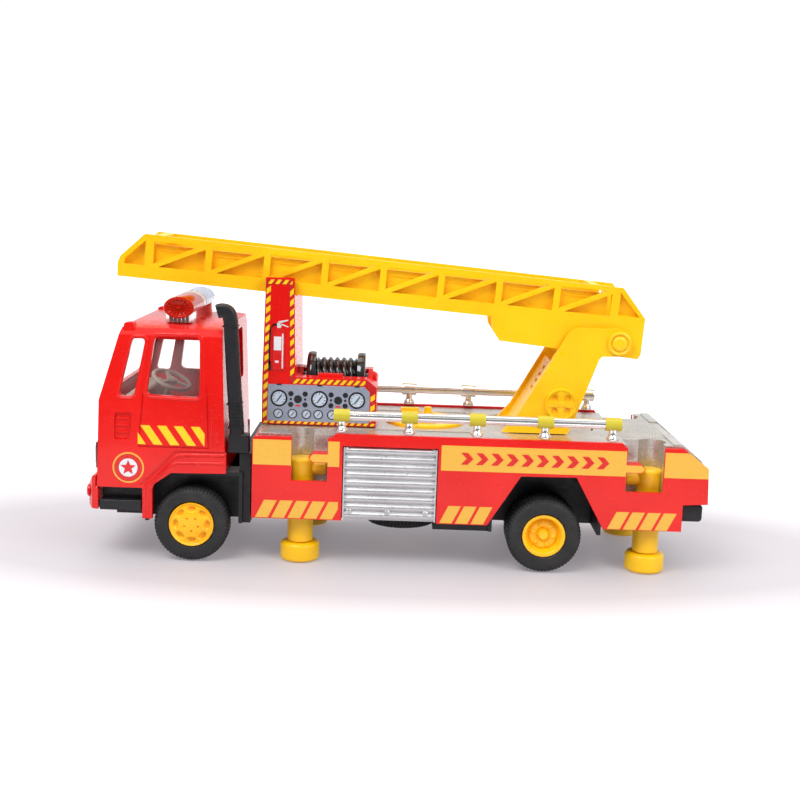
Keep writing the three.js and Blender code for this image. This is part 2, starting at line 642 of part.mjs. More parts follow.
piece(
  "pivot_pin",
  join(
    rod(1.8, [pivotX, -14.8, pivotZ], [pivotX, 14.8, pivotZ]),
    ...[-1, 1].map((side) => rod(2.3, [pivotX, side * 14.5, pivotZ], [pivotX, side * 15.2, pivotZ])),
  ),
  yellow,
);

// ---- ladder: u runs from the pivot to the tip, w runs up; both are set down here as -X and Z ----
const ladder = new THREE.Group();
ladder.position.set(pivotX, 0, pivotZ);
ladder.rotation.y = restPitch;
engine.add(ladder);
const along = (points, radius = 0) => outline(points.map(([u, w]) => [-u, w]), radius);

// A side plate with a window either side of each diagonal.
const rungPlaces = Array.from({ length: bays + 1 }, (_, i) => bay * i);
function truss(form, y0, y1, first, low, high) {
  const [upright, brace] = [2.1, 1.6];
  const tools = [];
  for (let i = 0; i < bays; i += 1) {
    const [a, b] = [first + bay * i + upright / 2, first + bay * (i + 1) - upright / 2];
    const length = Math.hypot(b - a, high - low);
    const [du, dw] = [(brace / 2) * (length / (high - low)), (brace / 2) * (length / (b - a))];
    tools.push(plateY(along([[a, low], [b - du, low], [a, high - dw]]), y0 - 1, y1 + 1));
    tools.push(plateY(along([[b, high], [a + du, high], [b, low + dw]]), y0 - 1, y1 + 1));
  }
  return cut(plateY(along(form), y0, y1), ...tools);
}

function outerLadder() {
  const [inner, outer] = [9.7, 11.5];
  const form = [
    [161.6, 4.1], [161.8, 8.6], [161, 10.6], [153.8, 18.2], [0.6, 17.6], [-7.5, 8.6],
    [-7.65, -3], [-6.9, -4.6], [38.1, -3.4], [40.8, 0], [41.5, 4.1],
  ];
  const first = 2.9;
  const side = cut(
    truss(form, -outer, -inner, first, 8.2, 16.2),
    plateY(along([[153.3, 8.2], [159.8, 8.2], [159.6, 9.9], [153.3, 16.2]]), -12, -9),
    plateY(along([[1.3, 8.8], [-5.6, 8.8], [1.3, 16]]), -12, -9),
  );
  const rungs = rungPlaces.map((u) => box(-first - u - 1, -first - u + 1, -10, 10, 4.3, 6));
  return cut(
    join(
      side,
      mirrored(side),
      ...rungs,
      plateY(along([[-6.5, -4.6], [38, -3.4], [38, -2], [-7, -3.1]]), -10, 10),
      box(-11, -8, -10, 10, 16.4, 17.7),
      box(-151, -148, -10, 10, 16.5, 18.1),
    ),
    rod(2, [0, -13, 0], [0, 13, 0]),
  );
}
piece("outer_ladder", outerLadder(), yellow, ladder);

function innerLadder() {
  const [inner, outer] = [7.9, 9.3];
  const form = [[157.4, 6.8], [157.4, 11], [152.6, 15.2], [5, 15.2], [5, 6.8]];
  const side = plateY(along(form), -outer, -inner);
  const rungs = rungPlaces.map((u) => box(-6 - u - 0.9, -6 - u + 0.9, -8.2, 8.2, 6.8, 8.4));
  return join(side, mirrored(side), ...rungs, box(-157.4, -155.8, -8.2, 8.2, 6.8, 10.6));
}
piece("inner_ladder", innerLadder(), yellow, ladder);

// ---- outriggers: a foot that slides, and a leg with a grip that turns in it ----
function outrigger(name, x, facing, side) {
  const place = (geometry) => shown(solid(geometry.scale(1, side, 1).translate(x, 0, 0)));
  const y = -outriggerY;
  const foot = cut(
    turned([[0, 0], [5.5, 0], [6.25, 0.8], [6.25, 5.2], [5.4, 6], [0, 6]], 16),
    turned([[0, 3], [3.2, 3], [3.2, 7], [0, 7]], 12),
  ).translate(0, y, 0);
  const postForm = [[0, 3.3], [2.9, 3.3], [2.9, 6.3], [4.1, 6.3], [4.1, 32.6], [3.4, 33.3], [0, 33.3]];
  const post = turned(postForm, 14);
  const leg = join(post.translate(0, y, 0), rod(2.1, [0, y, 29.7], [facing * 8, y, 29.7], 10));
  piece("outrigger_foot_" + name, place(foot), yellow);
  piece("outrigger_leg_" + name, place(leg), yellow);
}
outrigger("front_left", frontOutriggerX, 1, 1);
outrigger("front_right", frontOutriggerX, 1, -1);
outrigger("rear_left", rearOutriggerX, -1, 1);
outrigger("rear_right", rearOutriggerX, -1, -1);

export default engine;
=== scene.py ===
"""The looks of the toy ladder fire engine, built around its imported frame.

Lengths are in millimetres until a mesh is made; +X is the rear, -Y the engine's left side, +Z up.
"""
from math import cos, hypot, pi, radians, sin

import bmesh
import bpy
from mathutils import Matrix, Vector


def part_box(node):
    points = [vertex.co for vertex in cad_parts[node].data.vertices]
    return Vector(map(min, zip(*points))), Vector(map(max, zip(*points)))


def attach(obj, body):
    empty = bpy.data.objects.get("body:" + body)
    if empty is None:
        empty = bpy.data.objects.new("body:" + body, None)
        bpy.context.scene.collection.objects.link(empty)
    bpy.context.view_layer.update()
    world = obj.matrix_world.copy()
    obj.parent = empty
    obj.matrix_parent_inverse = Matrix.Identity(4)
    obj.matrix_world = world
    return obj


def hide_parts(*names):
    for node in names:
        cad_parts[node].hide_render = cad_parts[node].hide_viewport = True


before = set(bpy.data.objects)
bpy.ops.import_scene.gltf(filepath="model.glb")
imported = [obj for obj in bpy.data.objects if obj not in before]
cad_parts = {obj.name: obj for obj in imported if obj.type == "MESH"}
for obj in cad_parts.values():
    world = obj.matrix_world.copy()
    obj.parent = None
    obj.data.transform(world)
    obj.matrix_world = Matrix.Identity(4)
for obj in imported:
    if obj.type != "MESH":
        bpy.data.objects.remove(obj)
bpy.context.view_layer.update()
MM = 0.001
HALF_WIDTH = 30.0
DECK = 42.0
WHEEL_RADIUS = 11.8
SPARE_WHEEL = (1.5, 0, 7.6)
REEL_Z = 56
LADDER_PIVOT = (69.4, 0, 71.8)
LADDER_PITCH = radians(4.3)
LEFT_RIGHT = (("left", 1), ("right", -1))


# ---- materials ----
class Shader:
    """A Principled material with small helpers for its nodes."""

    def __init__(self, name, **sockets):
        self.material = bpy.data.materials.new(name)
        self.material.use_nodes = True
        self.tree = self.material.node_tree
        self.bsdf = self.tree.nodes["Principled BSDF"]
        for socket, value in sockets.items():
            self.bsdf.inputs[socket.replace("_", " ")].default_value = value
        self.place = self.node("ShaderNodeTexCoord").outputs["Object"]

    def node(self, kind, **values):
        made = self.tree.nodes.new(kind)
        for key, value in values.items():
            setattr(made, key, value)
        return made

    def link(self, source, target):
        self.tree.links.new(source, target)

    def noise(self, scale, detail=3.0, rough=0.55, stretch=None):
        texture = self.node("ShaderNodeTexNoise")
        texture.inputs["Scale"].default_value = scale
        texture.inputs["Detail"].default_value = detail
        texture.inputs["Roughness"].default_value = rough
        place = self.place
        if stretch:
            mapping = self.node("ShaderNodeMapping")
            mapping.inputs["Scale"].default_value = stretch
            self.link(place, mapping.inputs["Vector"])
            place = mapping.outputs["Vector"]
        self.link(place, texture.inputs["Vector"])
        return texture.outputs["Fac"]

    def span(self, value, low_in, high_in, low_out, high_out):
        ranged = self.node("ShaderNodeMapRange")
        ends = {"From Min": low_in, "From Max": high_in, "To Min": low_out, "To Max": high_out}
        for socket, number in ends.items():
            ranged.inputs[socket].default_value = number
        self.link(value, ranged.inputs["Value"])
        return ranged.outputs["Result"]

    def mix(self, factor, a, b, blend="MIX"):
        mixer = self.node("ShaderNodeMix", data_type="RGBA", blend_type=blend)
        self.link(factor, mixer.inputs["Factor"])
        for socket, value in ((mixer.inputs[6], a), (mixer.inputs[7], b)):
            if isinstance(value, tuple):
                socket.default_value = value
            else:
                self.link(value, socket)
        return mixer.outputs[2]

    def paint(self, color):
        self.link(color, self.bsdf.inputs["Base Color"])

    def gloss(self, roughness):
        self.link(roughness, self.bsdf.inputs["Roughness"])

    def bump(self, height, distance, strength=1.0, under=None):
        bump = self.node("ShaderNodeBump")
        bump.inputs["Distance"].default_value = distance
        bump.inputs["Strength"].default_value = strength
        self.link(height, bump.inputs["Height"])
        if under:
            self.link(under, bump.inputs["Normal"])
        self.link(bump.outputs["Normal"], self.bsdf.inputs["Normal"])
        return bump.outputs["Normal"]


def rgba(r, g, b):
    return (r, g, b, 1.0)


def moulded(name, dark, light, roughness, grain=1.2e-5, waves=6e-5, **sockets):
    """Moulded plastic: slow colour drift, sink waves, fine grain, and handling marks in its gloss."""
    shader = Shader(name, **sockets)
    drift = shader.span(shader.noise(55, 2), 0.3, 0.7, 0, 1)
    shader.paint(shader.mix(drift, rgba(*dark), rgba(*light)))
    marks = shader.noise(420, 6, 0.7, (1, 1, 2.4))
    shader.gloss(shader.span(marks, 0.35, 0.75, roughness * 0.75, roughness * 1.5))
    under = shader.bump(shader.noise(70, 1), waves, 0.5)
    shader.bump(shader.noise(2600, 3), grain, 0.6, under)
    return shader.material


def metallised(name, dark, light, roughness, speck, grain=2e-5):
    """Vacuum-metallised plastic: bright metal with a cloudy gloss and fine specks."""
    shader = Shader(name, Metallic=0.85)
    cloud = shader.span(shader.noise(90, 4), 0.3, 0.7, 0, 1)
    base = shader.mix(cloud, rgba(*dark), rgba(*light))
    flecks = shader.span(shader.noise(1900, 2), 0.52, 0.66, 0, speck)
    shader.paint(shader.mix(flecks, base, rgba(1.0, 0.98, 0.94)))
    shader.gloss(shader.span(shader.noise(700, 5, 0.7), 0.3, 0.7, roughness * 0.7, roughness * 1.4))
    shader.bump(shader.noise(1500, 3), grain, 0.8)
    return shader.material


def clear(name, color, alpha, roughness=0.04, **sockets):
    """See-through plastic with handling marks in its gloss."""
    shader = Shader(name, Base_Color=rgba(*color), Alpha=alpha, **sockets)
    shader.gloss(shader.span(shader.noise(300, 5, 0.7), 0.35, 0.75, roughness * 0.6, roughness * 2.2))
    shader.bump(shader.noise(60, 1), 4e-5, 0.5)
    return shader.material


SHEEN = {"Specular_IOR_Level": 0.32, "Coat_Weight": 0.08}
RED = moulded("gloss red", (0.68, 0.007, 0.005), (0.76, 0.011, 0.008), 0.22, **SHEEN)
SEAT_RED = moulded("seat red", (0.34, 0.010, 0.012), (0.42, 0.016, 0.018), 0.4, grain=4e-5)
GLOW = {"Subsurface_Weight": 0.2, "Subsurface_Radius": (0.002, 0.001, 0.0003)}
YELLOW = moulded("ladder yellow", (1.0, 0.53, 0.001), (1.0, 0.60, 0.003), 0.33, **GLOW)
HUB_YELLOW = moulded("hub yellow", (1.0, 0.46, 0.002), (1.0, 0.53, 0.005), 0.3)
SLEEVE_YELLOW = moulded("sleeve yellow", (0.50, 0.41, 0.015), (0.58, 0.48, 0.025), 0.38)
DULL = {"grain": 3e-5, "Specular_IOR_Level": 0.35}
BLACK = moulded("black plastic", (0.008, 0.008, 0.010), (0.016, 0.016, 0.018), 0.42, **DULL)
GLOSS_BLACK = moulded("gloss black", (0.006, 0.005, 0.005), (0.012, 0.010, 0.010), 0.12, Coat_Weight=0.6)
BEIGE = moulded("interior beige", (0.42, 0.34, 0.27), (0.52, 0.43, 0.34), 0.5, grain=3e-5)
SILVER = metallised("deck silver", (0.54, 0.52, 0.48), (0.68, 0.66, 0.61), 0.34, 0.55, grain=3.5e-5)
SHUTTER = metallised("shutter silver", (0.53, 0.53, 0.545), (0.64, 0.64, 0.655), 0.34, 0.12)
CHROME = metallised("rail chrome", (0.70, 0.69, 0.68), (0.86, 0.85, 0.84), 0.13, 0.1, grain=0.8e-5)
STEEL = metallised("steel", (0.42, 0.42, 0.42), (0.55, 0.55, 0.55), 0.3, 0.0)
GLASS = clear("clear plastic", (0.75, 0.78, 0.80), 0.05)
LAMP = clear("lamp plastic", (0.95, 0.97, 1.0), 0.55)
BAND = moulded("lamp band white", (0.80, 0.83, 0.86), (0.88, 0.90, 0.93), 0.2, Coat_Weight=0.4)
# painted light: a faint red emission stands in for light passing through the lens from behind
PAINTED_LENS_GLOW = {"Emission_Color": rgba(0.9, 0.08, 0.01), "Emission_Strength": 0.06, "Specular_IOR_Level": 0.3}
RED_LENS = clear("red lens", (0.42, 0.006, 0.003), 0.97, 0.07, **PAINTED_LENS_GLOW)
BLUE_LENS = clear("blue lens", (0.40, 0.60, 0.95), 0.62, 0.05, Coat_Weight=0.8)


def rubber():
    shader = Shader("tyre rubber")
    dust = shader.span(shader.noise(260, 6, 0.7), 0.45, 0.8, 0, 0.6)
    shader.paint(shader.mix(dust, rgba(0.010, 0.010, 0.011), rgba(0.036, 0.034, 0.033)))
    shader.gloss(shader.span(shader.noise(500, 4), 0.3, 0.7, 0.5, 0.75))
    shader.bump(shader.noise(2200, 4), 4e-5, 0.8)
    return shader.material


RUBBER = rubber()


def printed(name, color, gloss=0.28):
    """Ink printed on a sticker: a little uneven, with a faint paper tooth."""
    shader = Shader(name)
    uneven = shader.span(shader.noise(800, 4), 0.3, 0.7, 0, 1)
    pale = tuple(min(1.0, c * 1.06 + 0.004) for c in color)
    shader.paint(shader.mix(uneven, rgba(*color), rgba(*pale)))
    shader.gloss(shader.span(shader.noise(600, 3), 0.3, 0.7, gloss * 0.8, gloss * 1.3))
    shader.bump(shader.noise(3000, 2), 6e-6, 0.5)
    return shader.material


GOLD_INK = printed("gold ink", (0.76, 0.41, 0.045), 0.32)
RED_INK = printed("red ink", (0.64, 0.010, 0.008))
YELLOW_INK = printed("yellow ink", (0.92, 0.56, 0.008))
WHITE_INK = printed("white ink", (0.70, 0.72, 0.74))
BLACK_INK = printed("black ink", (0.012, 0.012, 0.014))
GREY_INK = printed("grey ink", (0.27, 0.30, 0.38))
DIAL_INK = printed("dial ink", (0.50, 0.58, 0.68))
SILVER_INK = printed("silver ink", (0.62, 0.63, 0.64))
SEAT_INK = printed("dark red ink", (0.36, 0.01, 0.012))
DARK_INK = printed("hazard red ink", (0.50, 0.012, 0.012))


# ---- meshes ----
def finish_piece(name, bm, material, body, replaces=(), smooth=40, weighted=True):
    """Turns a bmesh in metres into a piece that rides on a body."""
    bmesh.ops.recalc_face_normals(bm, faces=bm.faces)
    mesh = bpy.data.meshes.new(name)
    bm.to_mesh(mesh)
    bm.free()
    mesh.polygons.foreach_set("use_smooth", [True] * len(mesh.polygons))
    mesh.set_sharp_from_angle(angle=radians(smooth))
    mesh.materials.append(material)
    piece = bpy.data.objects.new(name, mesh)
    bpy.context.scene.collection.objects.link(piece)
    if weighted:
        modifier = piece.modifiers.new("weighted", "WEIGHTED_NORMAL")
        modifier.keep_sharp = True
    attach(piece, body)
    if replaces:
        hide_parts(*replaces)
    return piece


def bevel_sharp(bm, width, segments, angle=28):
    """Rounds every edge whose faces turn by more than the angle."""
    turned = radians(angle)
    edges = [e for e in bm.edges if len(e.link_faces) == 2 and e.calc_face_angle(0) > turned]
    if edges:
        shape = {"segments": segments, "profile": 0.5, "affect": "EDGES", "clamp_overlap": True}
        bmesh.ops.bevel(bm, geom=edges, offset=width * MM, **shape)


def copy_of(node):
    """The node's own solid, welded and with its flat faces joined up."""
    bm = bmesh.new()
    bm.from_mesh(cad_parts[node].data)
    bmesh.ops.remove_doubles(bm, verts=bm.verts, dist=2e-6)
    bmesh.ops.dissolve_limit(bm, angle_limit=radians(0.6), verts=bm.verts, edges=bm.edges)
    return bm


def softened(node, material, body, width):
    """A node's shape with its edges rounded as a mould leaves them."""
    bm = copy_of(node)
    bevel_sharp(bm, width, 2)
    return finish_piece("soft_" + node, bm, material, body, replaces=[node])


def add_lathe(bm, profile, frame_matrix, segments=48, wobble=None):
    """Adds a closed turned body.

    Profile points are (radius, height); the first and last are on the axis or equal. The wobble, if there
    is one, gives a point's own radius and height from those, its number round the ring and its angle.
    """
    rings = []
    closed = profile[0] == profile[-1]
    points = profile[:-1] if closed else profile
    for r, h in points:
        if r < 1e-6:
            rings.append([bm.verts.new(frame_matrix @ (Vector((0, 0, h)) * MM))])
            continue
        ring = []
        for i in range(segments):
            turn = 2 * pi * i / segments
            own_r, own_h = wobble(r, h, i, turn) if wobble else (r, h)
            spot = Vector((own_r * cos(turn), own_r * sin(turn), own_h))
            ring.append(bm.verts.new(frame_matrix @ (spot * MM)))
        rings.append(ring)
    pairs = list(zip(rings, rings[1:]))
    if closed:
        pairs.append((rings[-1], rings[0]))
    for a, b in pairs:
        for i in range(segments):
            j = (i + 1) % segments
            corners = [a[i % len(a)], a[j % len(a)], b[j % len(b)], b[i % len(b)]]
            unique = list(dict.fromkeys(corners))
            if len(unique) > 2:
                bm.faces.new(unique)


def facing(centre, axis):
    """A frame whose +Z is the axis, at the centre in millimetres."""
    turn = Vector((0, 0, 1)).rotation_difference(Vector(axis)).to_matrix().to_4x4()
    return Matrix.Translation(Vector(centre) * MM) @ turn


def add_prism(bm, outline, plane, start, end):
    """Adds an outline in a plane ('x', 'y' or 'z' is its normal), from start to end along the normal."""
    def at(point, depth):
        a, b = point
        place = {"x": (depth, a, b), "y": (a, depth, b), "z": (a, b, depth)}[plane]
        return bm.verts.new(Vector(place) * MM)

    first = [at(p, start) for p in outline]
    last = [at(p, end) for p in outline]
    bm.faces.new(first)
    bm.faces.new(last)
    count = len(outline)
    for i in range(count):
        j = (i + 1) % count
        bm.faces.new((first[i], first[j], last[j], last[i]))


def polar(cx, cy, radius, turn):
    return (cx + radius * cos(turn), cy + radius * sin(turn))


def disc(cx, cy, radius, steps=40):
    return [polar(cx, cy, radius, 2 * pi * i / steps) for i in range(steps)]


def block(x0, z0, x1, z1):
    """An upright rectangle's outline."""
    return [(x0, z0), (x1, z0), (x1, z1), (x0, z1)]


def rounded(points, radius, steps=4):
    """An outline with round corners."""
    made = []
    count = len(points)
    for i, point in enumerate(points):
        here = Vector(point)
        before, after = Vector(points[i - 1]) - here, Vector(points[(i + 1) % count]) - here
        start = here + before.normalized() * min(radius, before.length / 2.1)
        end = here + after.normalized() * min(radius, after.length / 2.1)
        for k in range(steps + 1):
            t = k / steps
            spot = start * (1 - t) ** 2 + here * 2 * t * (1 - t) + end * t * t
            made.append((spot.x, spot.y))
    return made


STICKER = 0.06  # each layer's thickness


def stickers(name, outlines, material, side=1, face=HALF_WIDTH, layer=1, body="chassis"):
    """Thin flat shapes in X and Z on the left (side 1) or right (side -1) face, layer on layer."""
    bm = bmesh.new()
    under, over = face + STICKER * (layer - 1) - 0.02, face + STICKER * layer
    for outline in outlines:
        add_prism(bm, outline, "y", -side * under, -side * over)
    return finish_piece(name, bm, material, body, smooth=30, weighted=False)


# ---- camera, light and floor ----
def camera():
    data = bpy.data.cameras.new("camera")
    data.lens = 54.4
    data.sensor_width = 36
    data.clip_start = 0.01
    view = bpy.data.objects.new("camera", data)
    bpy.context.scene.collection.objects.link(view)
    yaw, pitch, roll = radians(0.056), radians(9.665), radians(1.937)
    ahead = Vector((sin(yaw) * cos(pitch), cos(yaw) * cos(pitch), -sin(pitch)))
    right = Vector((cos(yaw), -sin(yaw), 0))
    up = right.cross(ahead)
    across = right * cos(roll) + up * sin(roll)
    over = up * cos(roll) - right * sin(roll)
    turn = Matrix((across, over, -ahead)).transposed().to_4x4()
    view.matrix_world = Matrix.Translation((-0.00042, -0.39754, 0.1166)) @ turn
    bpy.context.scene.camera = view


def area_light(name, place, aim, size, watts, color=(1, 1, 1)):
    data = bpy.data.lights.new(name, "AREA")
    data.shape = "RECTANGLE"
    data.size, data.size_y = size
    data.energy = watts
    data.color = color
    lamp = bpy.data.objects.new(name, data)
    bpy.context.scene.collection.objects.link(lamp)
    lamp.location = place
    lamp.rotation_euler = (Vector(aim) - Vector(place)).to_track_quat("-Z", "Y").to_euler()


def sky():
    """White behind the toy; the light comes from a room that is bright above and behind, and dim in front."""
    world = bpy.data.worlds.new("studio")
    world.use_nodes = True
    tree = world.node_tree
    kinds = ("TexCoord", "VectorMath", "MapRange", "LightPath", "Mix")
    made = {kind: tree.nodes.new("ShaderNode" + kind) for kind in kinds}
    background = tree.nodes["Background"]
    background.inputs["Color"].default_value = (0.97, 0.98, 1.0, 1)
    made["VectorMath"].operation = "DOT_PRODUCT"
    made["VectorMath"].inputs[1].default_value = (0, 0.62, 0.78)
    tree.links.new(made["TexCoord"].outputs["Generated"], made["VectorMath"].inputs[0])
    tree.links.new(made["VectorMath"].outputs["Value"], made["MapRange"].inputs["Value"])
    for socket, number in (("From Min", -0.5), ("From Max", 0.7), ("To Min", 0.10), ("To Max", 0.95)):
        made["MapRange"].inputs[socket].default_value = number
    tree.links.new(made["LightPath"].outputs["Is Camera Ray"], made["Mix"].inputs["Factor"])
    tree.links.new(made["MapRange"].outputs["Result"], made["Mix"].inputs["A"])
    made["Mix"].inputs["B"].default_value = 1.05
    tree.links.new(made["Mix"].outputs["Result"], background.inputs["Strength"])
    bpy.context.scene.world = world


def floor():
    """A pale sheet that ends a hand in front of the toy and fades to pure white round it; its emission is
    painted light, a faint glow near the toy that lightens the shadow under it.
    """
    shader = Shader("floor", Roughness=0.6)
    base = shader.mix(shader.noise(8, 3), rgba(0.37, 0.35, 0.36), rgba(0.43, 0.41, 0.42))
    shader.paint(base)
    reach_of_toy = shader.node("ShaderNodeMapping")
    reach_of_toy.inputs["Scale"].default_value = (4.0, 10.6, 0)
    shader.link(shader.place, reach_of_toy.inputs["Vector"])
    away = shader.node("ShaderNodeVectorMath", operation="LENGTH")
    shader.link(reach_of_toy.outputs["Vector"], away.inputs[0])
    fade = shader.span(away.outputs["Value"], 0.6, 1.3, 0, 1)
    # painted light: the floor's emission lightens the toy's shadow near it and rises to pure white away from
    # it
    painted_glow = shader.mix(fade, rgba(0.20, 0.185, 0.20), rgba(1, 1, 1))
    shader.link(painted_glow, shader.bsdf.inputs["Emission Color"])
    shader.bsdf.inputs["Emission Strength"].default_value = 1.0
    bm = bmesh.new()
    front, reach = -0.2, 3.0
    corners = ((-reach, front), (reach, front), (reach, reach), (-reach, reach))
    bm.faces.new([bm.verts.new((x, y, -0.0002)) for x, y in corners])
    mesh = bpy.data.meshes.new("floor")
    bm.to_mesh(mesh)
    bm.free()
    mesh.materials.append(shader.material)
    sheet = bpy.data.objects.new("floor", mesh)
    bpy.context.scene.collection.objects.link(sheet)


def studio():
    sky()
    area_light("key", (-0.30, -0.42, 0.62), (0, 0, 0.03), (0.45, 0.30), 4.1)
    area_light("fill", (0.45, -0.40, 0.40), (0, 0, 0.04), (0.35, 0.35), 1.9)
    area_light("top", (0.05, 0.12, 0.75), (0, 0, 0.03), (0.7, 0.5), 1.9)
    bpy.context.scene.view_settings.view_transform = "Standard"
    floor()


camera()
studio()

# ---- carried shapes with rounded edges ----
SOFT = (
    (RED, "chassis", "body_red", {"cab_shell": 0.45, "bed_shell": 0.3, "pump_tower": 0.35}),
    (RED, "chassis", "bumper_red", {"front_bumper": 0.6}),
    (SILVER, "chassis", "deck_silver", {"deck_tray": 0.25}),
    (SILVER, "mast", "deck_silver", {"turntable": 0.25}),
    (BLACK, "chassis", "black_plastic", {"chassis_pan": 0.25, "motor_case": 0.5, "rear_bumper": 0.5}),
    (BLACK, "chassis", "black_plastic", {"cab_step_left": 0.35, "cab_step_right": 0.35}),
    (BLACK, "chassis", "black_plastic", {"front_grille": 0.15}),
    (BEIGE, "chassis", "interior_beige", {"cab_interior": 0.5}),
    (SEAT_RED, "chassis", "seat_red", {"cab_seats": 0.9}),
    (YELLOW, "mast", "ladder_yellow", {"mast_frame": 0.28}),
    (YELLOW, "ladder", "ladder_yellow", {"outer_ladder": 0.25}),
    (YELLOW, "winch_wheel", "ladder_yellow", {"deck_wheel": 0.22}),
    (LAMP, "chassis", "clear_plastic", {"headlight_left": 0.2, "headlight_right": 0.2}),
)
for material, body, slot, widths in SOFT:
    for node, width in widths.items():
        softened(node, material, body, width)


def carried(material, *nodes):
    """CAD nodes that keep their own shape and only get a material."""
    for node in nodes:
        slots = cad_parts[node].data.materials
        slots.clear()
        slots.append(material)


carried(GLASS, "cab_glazing")
carried(STEEL, "pan_screw_front", "pan_screw_middle", "pan_screw_rear", "spare_screw", "swivel_screw")
carried(STEEL, "front_axle", "rear_axle")


# ---- wheels ----
def tyre(node, body, centre, axis, width, rows, bore):
    """A tyre with tread notches; rows are the treads' (start, end) places across its width."""
    bm = bmesh.new()
    tread = WHEEL_RADIUS
    profile = [(bore, 0.9), (bore + 0.4, 0.35), (8.5, 0.15), (9.8, 0.0), (10.6, 0.2)]
    for start, end in rows:
        profile += [(11.15, start + 0.3), (11.55, start + 0.7), (tread, start + 1.5)]
        profile += [(tread, (start + end) / 2), (tread, end - 1.5), (11.55, end - 0.7), (11.15, end - 0.3)]
        if end < width:
            profile += [(10.0, end + 0.1), (9.6, end + 0.4)]
    profile += [(10.6, width - 0.2), (9.8, width), (8.5, width - 0.15)]
    profile += [(bore + 0.4, width - 0.35), (bore, width - 0.9), (bore, 0.9)]
    bricks = 62

    def notch(r, h, i, turn):
        if r < 11.1:
            return r, h
        step = i % 4
        on_shoulder = abs(r - tread) > 0.02
        sunk = 0.42 if step in (0, 1) and on_shoulder else (0.25 if step == 0 else 0.0)
        return r - sunk, h

    add_lathe(bm, profile, facing(centre, axis), bricks * 4, notch)
    finish_piece("rubber_" + node, bm, RUBBER, body, [node], smooth=35)


def relief(bm, place, radius, depth, height, rings=30, spokes=96):
    """A turned disc whose face height is a function of radius and angle, with a plain back."""
    profile = [(0.0, 0)] + [(radius * (k / rings), 0) for k in range(1, rings + 1)]
    profile += [(radius, depth), (radius - 1.0, depth), (radius - 1.2, depth * 0.5), (0.0, depth * 0.5)]

    def face(r, h, i, turn):
        return (r, height(r, turn)) if h == 0 and r <= radius + 1e-6 else (r, h)

    profile[0] = (1e-4, 0)
    add_lathe(bm, profile[:-1] + [(1e-4, depth * 0.5)] + [profile[0]], place, spokes, face)


def smooth_step(value, start, end):
    t = min(1.0, max(0.0, (value - start) / (end - start)))
    return t * t * (3 - 2 * t)


def pit(r, turn, at_radius, half_length, half_width, count, offset=0.0):
    """1 inside any of count oval pits set round a circle, 0 outside, with soft walls."""
    step = 2 * pi / count
    local = (turn - offset + step / 2) % step - step / 2
    across = hypot(local * at_radius / half_length, (r - at_radius) / half_width)
    return 1 - smooth_step(across, 0.75, 1.1)


def front_face(r, turn):
    dome = 0.15 + 1.0 * (r / 7) ** 2.2
    rim = -0.65 * smooth_step(r, 6.35, 6.75)
    return dome + rim + 1.1 * pit(r, turn, 5.0, 1.35, 0.85, 8) + 0.6 * pit(r, turn, 2.2, 0.33, 0.33, 5, 0.3)


def rear_face(r, turn):
    dish = 2.7 * (1 - smooth_step(r, 4.7, 5.9))
    boss = -1.9 * (1 - smooth_step(r, 1.45, 1.75))
    ring = -0.5 * (1 - smooth_step(abs(r - 3.4), 0.9, 1.3))
    nuts = -0.55 * pit(r, turn, 3.45, 0.55, 0.55, 6, 0.2)
    return 0.75 + dish + boss + ring + nuts


def rim(name, body, node, centre, axis, radius, depth, face):
    bm = bmesh.new()
    relief(bm, facing(centre, axis), radius, depth, face)
    finish_piece(name, bm, HUB_YELLOW, body, [node], smooth=60, weighted=False)


FRONT_RIM = 7.0
FRONT_RIM_DEPTH = 6.8
WHEELS = (
    ("front", -64.5, 7.4, ((0.0, 7.4),), front_face, FRONT_RIM, FRONT_RIM_DEPTH),
    ("rear", 46.7, 14.0, ((0.0, 6.6), (7.4, 14.0)), rear_face, 6.75, 9.0),
)
for end, x, width, rows, face, radius, depth in WHEELS:
    for label, side in LEFT_RIGHT:
        centre = (x, -29.5 * side, WHEEL_RADIUS)
        outward = (0, side, 0)
        tyre(f"{end}_tyre_{label}", end + "_wheels", centre, outward, width, rows, radius + 0.2)
        names = (f"{end}_rim_{label}", end + "_wheels", f"{end}_hub_{label}")
        rim(*names, centre, outward, radius, depth, face)
tyre("spare_tyre", "chassis", SPARE_WHEEL, (0, 0, 1), 7.4, ((0.0, 7.4),), FRONT_RIM + 0.2)
rim(
    "spare_rim", "chassis", "spare_hub", SPARE_WHEEL, (0, 0, 1), FRONT_RIM, FRONT_RIM_DEPTH,
    lambda r, turn: front_face(r, turn) + 0.6,
)


